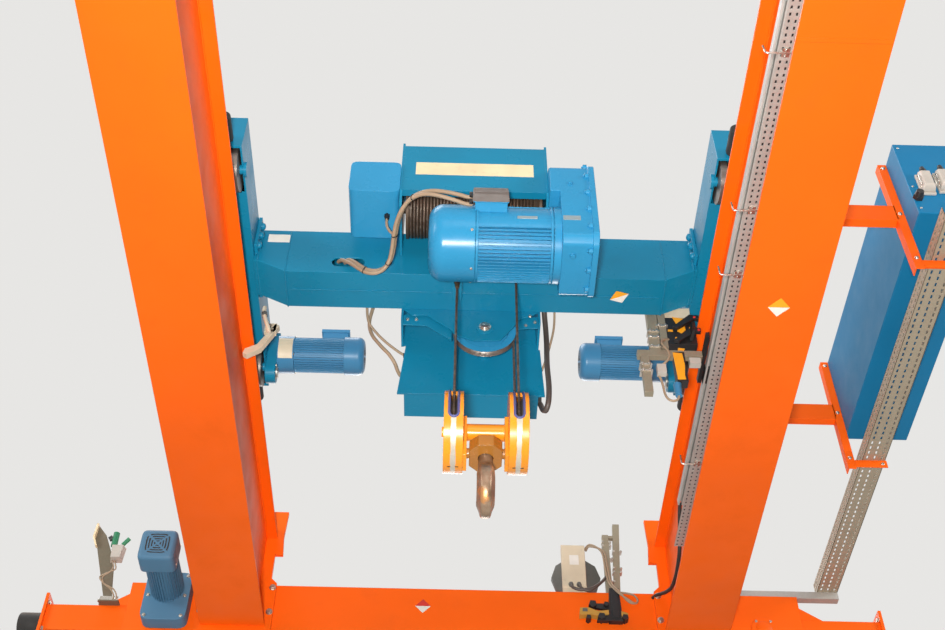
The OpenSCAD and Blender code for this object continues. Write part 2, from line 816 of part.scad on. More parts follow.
// Square bars behind the crossbeam, with the arm, holder and housings of the current collectors
module collector_bars() {
    y = beam_back;
    bar = 30;
    arm = conductor_z + 16;
    arm_top = arm + 33;
    holder = conductor_x - collector_gap;
    color("darkkhaki") {
        slab([745, y, arm_top], [788, y + bar, 900]);
        slab([792, y, arm_top + 12], [823, y + bar, 900]);
        slab([687, y, arm], [holder - 15, y + bar, arm_top]);
        slab([699, y, strip_z + 3], [734, y + bar, arm]);
    }
    color("black") {
        slab([holder - 15, y - 112, arm + 3], [holder, y + 171, arm_top - 3]);
        slab([823, y + 7, arm + 73], [flange_in - 7, y + 67, arm + 243]);
        slab([825, y + bar, arm - 145], [885, y + bar + 60, arm_top - 11]);
    }
}

// The body of a crab wheel: its tread and the bore for its axle
module crab_wheel(side_x, side_y) {
    y = crab_y + side_y * crab_wheel_base / 2;
    x = side_x * rail_x;
    color("dimgray") difference() {
        bar_x(crab_wheel_d, x - tread_w / 2, x + tread_w / 2, y, crab_axle_z);
        bar_x(crab_axle_d + 2 * axle_gap, x - crab_wheel_w, x + crab_wheel_w, y, crab_axle_z, 48);
    }
}

// The two flanges beside the tread of a crab wheel
module crab_wheel_flanges(side_x, side_y) {
    y = crab_y + side_y * crab_wheel_base / 2;
    x = side_x * rail_x;
    color("dimgray") difference() {
        for (edge = [x - crab_wheel_w / 2, x + tread_w / 2])
            bar_x(crab_wheel_d + 2 * wheel_lip, edge, edge + (crab_wheel_w - tread_w) / 2, y, crab_axle_z);
        bar_x(crab_axle_d + 2 * axle_gap, x - crab_wheel_w, x + crab_wheel_w, y, crab_axle_z, 48);
    }
}

module crab_wheel_far_left() { crab_wheel(-1, 1); }

module crab_wheel_far_right() { crab_wheel(1, 1); }

module crab_wheel_near_left() { crab_wheel(-1, -1); }

module crab_wheel_near_right() { crab_wheel(1, -1); }

module far_left_wheel_flanges() { crab_wheel_flanges(-1, 1); }

module far_right_wheel_flanges() { crab_wheel_flanges(1, 1); }

module near_left_wheel_flanges() { crab_wheel_flanges(-1, -1); }

module near_right_wheel_flanges() { crab_wheel_flanges(1, -1); }

// The drum with its rope grooves, two rims and a shaft
module rope_drum() {
    rim = 12;
    turns = floor((drum_right - drum_left - 2 * rim - 8) / groove_pitch);
    start = drum_left + rim + 4;
    low = drum_r - rope_d / 2;
    grooves = [for (i = [0:turns - 1], step = [0:3])
        [low + rope_d * [0, 0.8, 1, 0.8][step], start + (i + step / 4) * groove_pitch]];
    outline = concat([[0, drum_left], [low + rope_d + 2, drum_left], [low + rope_d + 2, drum_left + rim]],
        [[low, drum_left + rim]], grooves,
        [[low, drum_right - rim], [low + rope_d + 2, drum_right - rim], [low + rope_d + 2, drum_right],
        [0, drum_right]]);
    color("saddlebrown") {
        translate([0, drum_y, drum_z]) rotate([0, 90, 0]) rotate_extrude($fn = fine) polygon(outline);
        bar_x(drum_shaft_d, plate_left - 20, gear_left + 40, drum_y, drum_z);
    }
}

// Half of the section of a grooved sheave, round the Z axis
module sheave_outline(bore) {
    w = sheave_w / 2;
    polygon([[bore, -w], [60, -w], [60, -8], [sheave_r - 24, -8], [sheave_r - 20, -w], [sheave_rim, -w],
        [sheave_rim, -w + 3], [sheave_r - 3, -rope_d / 2], [sheave_r - rope_d / 2, -2],
        [sheave_r - rope_d / 2, 2], [sheave_r - 3, rope_d / 2], [sheave_rim, w - 3], [sheave_rim, w],
        [sheave_r - 20, w], [sheave_r - 24, 8], [60, 8], [60, w], [bore, w]]);
}

module upper_sheave() {
    color("dimgray") translate([hook_x, far_y, upper_z]) rotate([90, 0, 0])
        rotate_extrude($fn = fine) sheave_outline(sheave_pin_d / 2 + axle_gap);
}

module block_sheave(x) {
    color("dimgray") translate([x, block_y, block_z]) rotate([0, 90, 0])
        rotate_extrude($fn = fine) sheave_outline(sheave_pin_d / 2 + axle_gap);
}

module block_sheave_left() { block_sheave(fall_left); }

module block_sheave_right() { block_sheave(fall_right); }

// A round guard over one sheave, with a rope slot on each side
module block_guard(x) {
    slot_w = 36;
    slot_low = block_z - 54 + slot_w / 2;
    difference() {
        bar_x(guard_d, x - guard_in, x + guard_in, block_y, block_z);
        bar_x(2 * (sheave_rim + 7), x - guard_in + guard_t, x + guard_in - guard_t, block_y, block_z);
        for (side = [-1, 1]) {
            y0 = side < 0 ? block_y - guard_r - 1 : block_y + sheave_r - 28;
            y1 = side < 0 ? block_y - sheave_r + 28 : block_y + guard_r + 1;
            bar_y(slot_w, y0, y1, x, slot_low, 48);
            slab([x - slot_w / 2, y0, slot_low], [x + slot_w / 2, y1, block_z + guard_r]);
        }
        bar_x(sheave_pin_d, x - guard_w, x + guard_w, block_y, block_z);
    }
}

module block_guards() {
    color("orange") {
        block_guard(fall_left);
        block_guard(fall_right);
    }
}

// The axle through both sheaves, the tube between the side plates and the two plates
module block_side_plates() {
    outline = [[block_y - 45, block_z + 45], [block_y + 45, block_z + 45], [block_y + 45, crosshead_z - 48],
        [block_y - 45, crosshead_z - 48]];
    color("orange") {
        difference() {
            for (x = [hook_x - side_plate_x - side_plate_t, hook_x + side_plate_x])
                plate_yz(x, x + side_plate_t, outline);
            bar_x(trunnion_d + 2 * axle_gap, hook_x - 100, hook_x + 100, block_y, crosshead_z, 48);
        }
        bar_x(tube_d, hook_x - side_plate_x, hook_x + side_plate_x, block_y, block_z);
        bar_x(sheave_pin_d, fall_left - guard_in - 8, fall_right + guard_in + 8, block_y, block_z, 48);
    }
}

// The block that hangs in the side plates by its trunnions and carries the hook
module crosshead() {
    a = 62;
    b = 76;
    c = 34;
    outline = [[-a, c - b], [c - a, -b], [a - c, -b], [a, c - b], [a, b - c], [a - c, b], [c - a, b], [-a, b - c]];
    color("orange") translate([hook_x, block_y, crosshead_z]) difference() {
        union() {
            translate([0, 0, -crosshead_h / 2]) linear_extrude(crosshead_h) polygon(outline);
            bar_x(trunnion_d, -side_plate_x - side_plate_t, side_plate_x + side_plate_t, 0, 0, 48);
        }
        cylinder(d = shank_d + 2, h = crosshead_h + 2, center = true);
    }
}

// Section of the hook: wide towards the load, narrow outside; t is its width and h its depth
function hook_section(t, h, outer) = let (half = [[0.3, -0.5], [0.44, -0.43], [0.5, -0.3], [0.47, -0.1],
    [outer + 0.08, 0.12], [outer + 0.03, 0.3], [outer, 0.42], [outer * 0.65, 0.5]])
    [for (p = concat(half, [for (i = [7:-1:0]) [-half[i][0], half[i][1]]])) [p[0] * t, p[1] * h]];

// Depth of the hook's section at an angle round the middle of its bowl
function hook_depth(a) = a < 270 ? 56 + 25 * (a - 130) / 140 : 81 - 50 * pow((a - 270) / 110, 1.2);

// The hook: its shank and nut, and a bowl of sections that shrink towards the tip
module hook() {
    step = 10;
    color("dimgray") translate([hook_x, block_y, 0]) {
        translate([0, 0, hook_z + 84]) cylinder(d = shank_d, h = crosshead_z + 60 - hook_z - 84, $fn = 48);
        translate([0, 0, crosshead_z + crosshead_h / 2 + 0.5]) cylinder(d = 90, h = 30, $fn = 48);
        for (a = [130:step:370]) hull() {
            hook_slice(a);
            hook_slice(a + step);
        }
        hull() {
            hook_slice(130);
            translate([0, 0, hook_z + 92]) cylinder(d = shank_d, h = 2, $fn = 32);
        }
    }
}

// A thin slice of the bowl at an angle round its middle
module hook_slice(a) {
    h = hook_depth(a);
    translate([0, 0, hook_z]) rotate([a, 0, 0]) translate([0, hook_r + h / 2, 0])
        linear_extrude(0.5, center = true) polygon(hook_section(hook_t, h, a > 210 ? 0.29 : 0.29 + (210 - a) * 0.0014));
}

// The four rope falls between the crab and the block
module rope_falls() {
    color("dimgray") for (x = [fall_left, fall_right], y = [near_y, far_y])
        translate([x, y, block_z]) cylinder(d = rope_d, h = upper_z - block_z, $fn = 24);
}

// The rope from the top of its fall to the drum
module rope_lead() {
    color("dimgray") translate([fall_right, near_y, upper_z])
        cylinder(d = rope_d, h = drum_z - lead_end - upper_z, $fn = 24);
}

// Unit vector along a route at one of its points
function route_dir(p, i) = let (d = p[min(i + 1, len(p) - 1)] - p[max(i - 1, 0)]) d / norm(d);

// A tube of eight sides along the points of a route
module tube(p, d) {
    sides = 8;
    n = len(p);
    rings = [for (i = [0:n - 1]) let (t = route_dir(p, i), u = cross(t, [0.2, 1, 0.1]), v = cross(t, u / norm(u)))
        [for (k = [0:sides - 1]) p[i] + d / 2 * (cos(k * 360 / sides) * u / norm(u) + sin(k * 360 / sides) * v)]];
    points = [for (ring = rings) for (q = ring) q];
    walls = [for (i = [0:n - 2], k = [0:sides - 1])
        [i * sides + k, i * sides + (k + 1) % sides, (i + 1) * sides + (k + 1) % sides, (i + 1) * sides + k]];
    first = [for (k = [sides - 1:-1:0]) k];
    last = [for (k = [0:sides - 1]) (n - 1) * sides + k];
    polyhedron(points, concat(walls, [first, last]));
}

module motor_cable_front() { color("beige") tube(motor_route, cable_d); }

module motor_cable_back() { color("beige") tube(back_route, cable_d); }

left_girder();
right_girder();
girder_end_plates();
crab_rails();
far_end_carriage();
near_end_carriage();
runway_wheels();
end_buffers();
travel_gearboxes();
travel_motors();
control_cabinet();
cabinet_brackets();
cabinet_connectors();
cable_tray();
tray_channel();
conductor_rail();
conductor_strip();
supply_post();
junction_box();
photocell_bracket();
left_crab_frame();
right_crab_frame();
crab_axles();
crab_buffers();
crossbeam();
crab_drive_gearboxes();
crab_drive_motors();
hoist_frame();
hoist_cover();
hoist_gearbox();
hoist_motor();
motor_fan_cover();
motor_terminal_box();
hoist_switch_box();
rope_anchor();
sheave_hangers();
sheave_back_plate();
rope_guards();
crab_electric_box();
collector_bars();
crab_wheel_far_left();
crab_wheel_far_right();
crab_wheel_near_left();
crab_wheel_near_right();
far_left_wheel_flanges();
far_right_wheel_flanges();
near_left_wheel_flanges();
near_right_wheel_flanges();
rope_drum();
upper_sheave();
block_guards();
block_side_plates();
block_sheave_left();
block_sheave_right();
crosshead();
hook();
rope_falls();
rope_lead();
motor_cable_front();
motor_cable_back();
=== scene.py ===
"""Finishes a double girder overhead bridge crane: paints, ropes, cables, fasteners and fittings.

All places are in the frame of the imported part, in millimetres unless a name says otherwise.
+X runs across the bridge, +Y along the girders, +Z up.
"""
import json
import math

import bmesh
import bpy
from mathutils import Matrix, Vector, noise


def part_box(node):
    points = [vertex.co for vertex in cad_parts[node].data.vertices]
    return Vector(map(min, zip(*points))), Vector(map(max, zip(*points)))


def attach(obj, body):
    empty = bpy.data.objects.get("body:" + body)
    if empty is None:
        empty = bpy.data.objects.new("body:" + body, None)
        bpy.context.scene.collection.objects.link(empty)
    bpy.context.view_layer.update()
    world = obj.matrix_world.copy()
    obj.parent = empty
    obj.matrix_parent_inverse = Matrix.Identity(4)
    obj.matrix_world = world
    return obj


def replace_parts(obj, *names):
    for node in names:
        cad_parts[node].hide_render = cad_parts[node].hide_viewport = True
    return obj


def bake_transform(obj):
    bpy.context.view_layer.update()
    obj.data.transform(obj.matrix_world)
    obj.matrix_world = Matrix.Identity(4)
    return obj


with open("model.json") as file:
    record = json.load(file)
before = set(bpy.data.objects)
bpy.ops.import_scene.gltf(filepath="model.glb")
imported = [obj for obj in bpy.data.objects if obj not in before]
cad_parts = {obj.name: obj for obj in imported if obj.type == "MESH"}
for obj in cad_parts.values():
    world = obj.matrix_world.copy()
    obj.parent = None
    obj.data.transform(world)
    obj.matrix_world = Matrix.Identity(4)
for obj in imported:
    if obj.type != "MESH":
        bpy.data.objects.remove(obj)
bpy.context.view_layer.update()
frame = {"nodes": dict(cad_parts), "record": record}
MM = 0.001
X, Y, Z = Vector((1, 0, 0)), Vector((0, 1, 0)), Vector((0, 0, 1))


# ---------------------------------------------------------------- places from the frame
def low(node):
    """Lowest corner of a CAD node, in millimetres."""
    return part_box(node)[0] / MM


def high(node):
    """Highest corner of a CAD node, in millimetres."""
    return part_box(node)[1] / MM


def middle(node):
    """Middle of a CAD node's box, in millimetres."""
    return (low(node) + high(node)) / 2


ROPE_R = 5.5
SHEAVE_R = 123.0
DRUM_R = 125.0
axle = middle("block_guards")
hook_x, block_y, block_z = axle.x, axle.y, axle.z
upper = middle("upper_sheave")
drum = middle("rope_drum")
near_y, far_y = block_y - SHEAVE_R, block_y + SHEAVE_R
fall_x = (hook_x - SHEAVE_R, hook_x + SHEAVE_R)
beam_low, beam_high = low("crossbeam"), high("crossbeam")
crosshead = middle("crosshead")
girder_low = low("right_girder").z
girder_top = high("right_girder").z
flange_in = low("right_girder").x
flange_out = high("right_girder").x


# ---------------------------------------------------------------- materials
class Shader:
    """A Principled material with a procedural node network."""

    def __init__(self, name):
        self.material = bpy.data.materials.new(name)
        self.material.use_nodes = True
        self.tree = self.material.node_tree
        self.surface = self.tree.nodes["Principled BSDF"]
        self.place = self.add("ShaderNodeTexCoord").outputs["Object"]

    def add(self, kind, inputs=None, **settings):
        """A node with its settings, and its inputs linked or set."""
        node = self.tree.nodes.new(kind)
        for key, value in settings.items():
            setattr(node, key, value)
        for key, value in (inputs or {}).items():
            self.put(node.inputs[key], value)
        return node

    def put(self, socket, value):
        if isinstance(value, bpy.types.NodeSocket):
            self.tree.links.new(value, socket)
        else:
            socket.default_value = value

    def noise(self, scale, detail=4.0, roughness=0.55, place=None):
        inputs = {"Vector": place or self.place, "Scale": scale, "Detail": detail, "Roughness": roughness}
        return self.add("ShaderNodeTexNoise", inputs).outputs["Fac"]

    def stretch(self, scale):
        """Object coordinates scaled by an amount along each axis."""
        return self.add("ShaderNodeMapping", {"Vector": self.place, "Scale": scale}).outputs["Vector"]

    def level(self, value, start, end, low=0.0, high=1.0):
        """Maps start..end to low..high, held at both ends."""
        inputs = {"Value": value, "From Min": start, "From Max": end, "To Min": low, "To Max": high}
        return self.add("ShaderNodeMapRange", inputs).outputs["Result"]

    def mix(self, factor, first, second):
        node = self.add("ShaderNodeMix", data_type="RGBA")
        self.put(node.inputs[0], factor)
        for socket, value in ((node.inputs[6], first), (node.inputs[7], second)):
            self.put(socket, value if isinstance(value, bpy.types.NodeSocket) else (*value, 1.0))
        return node.outputs[2]

    def math(self, operation, first, second=0.0):
        node = self.add("ShaderNodeMath", operation=operation)
        self.put(node.inputs[0], first)
        self.put(node.inputs[1], second)
        return node.outputs[0]

    def bump(self, height, distance, normal=None):
        inputs = {"Height": height, "Distance": distance, "Strength": 1.0}
        if normal is not None:
            inputs["Normal"] = normal
        return self.add("ShaderNodeBump", inputs).outputs["Normal"]

    def upward(self):
        """How far a face looks up, from its true normal."""
        normal = self.add("ShaderNodeNewGeometry").outputs["Normal"]
        return self.add("ShaderNodeSeparateXYZ", {"Vector": normal}).outputs["Z"]

    def edges(self, radius):
        """The rounded normal of sharp edges and a mask that is 1 on them."""
        round_normal = self.add("ShaderNodeBevel", {"Radius": radius}, samples=4).outputs["Normal"]
        flat = self.add("ShaderNodeNewGeometry").outputs["Normal"]
        node = self.add("ShaderNodeVectorMath", operation="DOT_PRODUCT")
        self.put(node.inputs[0], round_normal)
        self.put(node.inputs[1], flat)
        return round_normal, self.level(node.outputs["Value"], 0.97, 0.80)

    def set(self, **inputs):
        for key, value in inputs.items():
            name = key.replace("_", " ").title()
            if isinstance(value, tuple) and len(value) == 3:
                value = (*value, 1.0)
            self.put(self.surface.inputs[name], value)
        return self.material


def shade(colour, factor):
    return tuple(min(1.0, c * factor) for c in colour)


DUST = (0.20, 0.135, 0.085)
GRIME = (0.055, 0.036, 0.024)


def paint(name, colour, roughness=0.36, dust=0.65, grime=0.22, wear=0.12, radius=0.0025, bare=(0.32, 0.20, 0.13)):
    """Sprayed paint: soft changes of tone, brown dust on top, grime in blotches, worn edges."""
    s = Shader(name)
    tone = s.level(s.noise(1.3, 3.0), 0.3, 0.7)
    base = s.mix(tone, shade(colour, 0.90), shade(colour, 1.06))
    speck = s.level(s.noise(38.0, 5.0, 0.7), 0.60, 0.74)
    blotch = s.level(s.noise(4.5, 6.0, 0.65), 0.55, 0.78)
    dirty = s.math("MULTIPLY", s.math("ADD", s.math("MULTIPLY", speck, 0.35), blotch), grime)
    base = s.mix(dirty, base, tuple(0.5 * g + 0.25 * c for g, c in zip(GRIME, colour)))
    rounded, edge = s.edges(radius)
    chip = s.math("MULTIPLY", edge, s.level(s.noise(60.0, 4.0, 0.7), 0.56, 0.62))
    base = s.mix(s.math("MULTIPLY", chip, wear), base, bare)
    settled = s.level(s.upward(), 0.35, 0.95)
    settled = s.math("MULTIPLY", settled, s.level(s.noise(7.0, 6.0, 0.6), 0.25, 0.65, 0.6, 1.0))
    settled = s.math("MULTIPLY", settled, dust)
    base = s.mix(settled, base, DUST)
    gloss = s.math("ADD", s.level(s.noise(9.0, 5.0), 0.3, 0.7, roughness - 0.05, roughness + 0.10),
                   s.math("MULTIPLY", settled, 0.45))
    skin = s.bump(s.noise(420.0, 2.0), 0.00004, rounded)
    s.surface.inputs["Specular IOR Level"].default_value = 0.24
    return s.set(base_color=base, roughness=gloss, normal=skin)


def metal(name, colour, roughness=0.45, rust=0.0, radius=0.0015, metallic=0.9, grain=(1.0, 1.0, 1.0)):
    """Bare or galvanised metal with spangle, stains and a slight grain."""
    s = Shader(name)
    spangle = s.add("ShaderNodeTexVoronoi", {"Vector": s.stretch(grain), "Scale": 240.0}).outputs["Color"]
    spangle = s.add("ShaderNodeSeparateXYZ", {"Vector": spangle}).outputs["X"]
    base = s.mix(s.math("MULTIPLY", spangle, 0.45), shade(colour, 0.92), shade(colour, 1.10))
    stain = s.level(s.noise(11.0, 6.0, 0.65), 0.52, 0.75)
    base = s.mix(s.math("MULTIPLY", stain, 0.12 + rust), base, (0.16, 0.09, 0.05))
    settled = s.math("MULTIPLY", s.level(s.upward(), 0.4, 0.95), 0.55)
    base = s.mix(settled, base, DUST)
    rounded, _ = s.edges(radius)
    gloss = s.math("ADD", s.level(s.noise(30.0, 4.0), 0.3, 0.7, roughness - 0.08, roughness + 0.12),
                   s.math("MULTIPLY", settled, 0.4))
    return s.set(base_color=base, metallic=metallic, roughness=gloss, normal=rounded)


def moulded(name, colour, roughness=0.5, dust=0.5, radius=0.001, grain=0.00006):
    """Moulded plastic or rubber with a fine grain and settled dust."""
    s = Shader(name)
    base = s.mix(s.level(s.noise(6.0, 4.0), 0.3, 0.7), shade(colour, 0.88), shade(colour, 1.08))
    smear = s.level(s.noise(16.0, 5.0, 0.7), 0.58, 0.75)
    base = s.mix(s.math("MULTIPLY", smear, 0.2), base, GRIME)
    settled = s.math("MULTIPLY", s.level(s.upward(), 0.3, 0.95), dust)
    base = s.mix(settled, base, DUST)
    rounded, _ = s.edges(radius)
    gloss = s.level(s.noise(25.0, 4.0), 0.3, 0.7, roughness - 0.06, roughness + 0.10)
    return s.set(base_color=base, roughness=gloss, normal=s.bump(s.noise(700.0, 2.0), grain, rounded))


def wire_rope(name):
    """Greasy wire rope: brown grease over grey wires."""
    s = Shader(name)
    base = s.mix(s.level(s.noise(60.0, 4.0), 0.35, 0.65), (0.060, 0.045, 0.036), (0.20, 0.165, 0.135))
    base = s.mix(s.level(s.noise(9.0, 4.0), 0.45, 0.7), base, (0.10, 0.060, 0.036))
    wires = s.noise(900.0, 2.0)
    return s.set(base_color=base, metallic=0.45, roughness=0.42, normal=s.bump(wires, 0.0003))


def forged(name):
    """Forged steel that was painted once: worn grey-brown with patches of old paint."""
    s = Shader(name)
    base = s.mix(s.level(s.noise(14.0, 6.0, 0.65), 0.35, 0.65), (0.18, 0.105, 0.058), (0.36, 0.26, 0.18))
    patch = s.level(s.noise(9.0, 5.0, 0.6), 0.56, 0.60)
    base = s.mix(s.math("MULTIPLY", patch, 0.55), base, (0.62, 0.25, 0.05))
    rounded, _ = s.edges(0.002)
    pitted = s.bump(s.noise(160.0, 5.0, 0.6), 0.0004, rounded)
    gloss = s.level(s.noise(20.0, 4.0), 0.3, 0.7, 0.26, 0.48)
    return s.set(base_color=base, metallic=0.55, roughness=gloss, normal=pitted)


def worn_block_paint(name, colour):
    """Yellow-orange block paint, rubbed through to primer and steel at the edges."""
    s = Shader(name)
    base = s.mix(s.level(s.noise(5.0, 4.0), 0.3, 0.7), shade(colour, 0.86), shade(colour, 1.05))
    rounded, edge = s.edges(0.004)
    scuff = s.level(s.noise(26.0, 6.0, 0.7), 0.50, 0.56)
    base = s.mix(s.math("MULTIPLY", s.math("MULTIPLY", edge, scuff), 0.85), base, (0.26, 0.14, 0.08))
    grease = s.level(s.noise(7.0, 6.0, 0.7), 0.60, 0.72)
    base = s.mix(s.math("MULTIPLY", grease, 0.35), base, (0.22, 0.10, 0.02))
    settled = s.math("MULTIPLY", s.level(s.upward(), 0.4, 0.95), 0.6)
    base = s.mix(settled, base, DUST)
    gloss = s.level(s.noise(12.0, 5.0), 0.3, 0.7, 0.20, 0.36)
    return s.set(base_color=base, roughness=gloss, normal=s.bump(s.noise(300.0, 2.0), 0.00006, rounded))


LOOKS = {
    "orange": paint("orange_paint", (0.92, 0.122, 0.002), roughness=0.42, dust=0.30, grime=0.10, wear=0.10),
    "crab_blue": paint("crab_blue_paint", (0.006, 0.200, 0.35), roughness=0.28, dust=0.35, grime=0.14),
    "hoist_blue": paint("hoist_blue_paint", (0.027, 0.268, 0.505), roughness=0.26, dust=0.5, grime=0.16, radius=0.004),
    "motor_blue": paint("motor_blue_paint", (0.050, 0.21, 0.39), roughness=0.32, grime=0.22, dust=0.9),
    "cabinet_blue": paint("cabinet_blue_paint", (0.006, 0.165, 0.35), roughness=0.42, dust=0.35, grime=0.12),
    "block_yellow": worn_block_paint("block_yellow_paint", (0.93, 0.32, 0.012)),
    "rail_steel": metal("rail_steel", (0.30, 0.25, 0.21), roughness=0.42, rust=0.25, metallic=0.7),
    "wheel_steel": metal("wheel_steel", (0.22, 0.19, 0.17), roughness=0.38, rust=0.1, metallic=0.75),
    "drum_steel": metal("drum_steel", (0.085, 0.055, 0.035), roughness=0.5, rust=0.1, metallic=0.4),
    "hook_steel": forged("hook_steel"),
    "galvanised": metal("galvanised_steel", (0.50, 0.49, 0.46), roughness=0.48, metallic=0.55),
    "brass": metal("dull_brass", (0.20, 0.13, 0.07), roughness=0.5),
    "rope": wire_rope("wire_rope"),
    "rubber": moulded("black_rubber", (0.014, 0.013, 0.012), roughness=0.7),
    "dark_plastic": moulded("dark_plastic", (0.075, 0.058, 0.050), roughness=0.45),
    "grey_plastic": moulded("grey_plastic", (0.42, 0.42, 0.40), roughness=0.5),
    "cable": moulded("cable_sheath", (0.34, 0.25, 0.165), roughness=0.5, dust=0.3),
}
CREAM = moulded("cream_plastic", (0.66, 0.57, 0.42), roughness=0.45)
EDGING = moulded("edge_guard", (0.075, 0.085, 0.24), roughness=0.35, dust=0.2)
YELLOW = moulded("yellow_plastic", (0.85, 0.36, 0.01), roughness=0.4, dust=0.3)
GREEN = moulded("green_plastic", (0.02, 0.20, 0.09), roughness=0.4)
BLACK = moulded("black_plastic", (0.012, 0.012, 0.013), roughness=0.45)
WHITE = moulded("white_label", (0.78, 0.76, 0.70), roughness=0.5, dust=0.2)
STRIP = moulded("cream_label", (0.80, 0.66, 0.42), roughness=0.45, dust=0.15)
RED = moulded("red_label", (0.62, 0.03, 0.02), roughness=0.5, dust=0.2)
BOLT = metal("zinc_bolt", (0.50, 0.46, 0.40), roughness=0.35)
BRIGHT = metal("bright_steel", (0.62, 0.58, 0.52), roughness=0.25)
OCHRE = worn_block_paint("crosshead_paint", (0.42, 0.17, 0.025))
# Light worn steel for the bands down the hook block's guards: partly rubbed paint and partly a painted highlight along
# the guards' crowned rims.
WORN_AND_HIGHLIGHT = metal("worn_and_highlit_guard_steel", (0.62, 0.57, 0.48), roughness=0.34, metallic=0.35)
HOUSING = moulded("plug_housing", (0.50, 0.47, 0.42), roughness=0.5, dust=0.4)
BAR = metal("collector_zinc", (0.33, 0.29, 0.21), roughness=0.5, rust=0.1, metallic=0.45)
TRAY = metal("tray_zinc", (0.40, 0.34, 0.25), roughness=0.5, rust=0.1, metallic=0.4)
DISC = metal("dark_zinc", (0.12, 0.12, 0.11), roughness=0.55, metallic=0.3)
PLATE = metal("rating_plate", (0.30, 0.40, 0.44), roughness=0.35, metallic=0.4)
DRIVE = paint("drive_paint", (0.075, 0.185, 0.30), roughness=0.46, grime=0.35, dust=0.9)
DULL = metal("weathered_zinc", (0.17, 0.145, 0.10), roughness=0.6, rust=0.2, metallic=0.4)
OLIVE = moulded("ochre_plastic", (0.45, 0.25, 0.04), roughness=0.5, dust=0.4)

slot_of = {part["node"]: part["material_slot"] for part in frame["record"]["subparts"]}
body_of = {node: body for body, nodes in frame["record"]["behaviour"]["bodies"].items() for node in nodes}
for node, part in frame["nodes"].items():
    part.data.materials.clear()
    part.data.materials.append(LOOKS[slot_of[node]])


# ---------------------------------------------------------------- mesh tools
def basis(axis):
    """Two directions at right angles to an axis."""
    axis = Vector(axis).normalized()
    side = axis.cross(Z if abs(axis.z) < 0.9 else X).normalized()
    return side, axis.cross(side).normalized(), axis


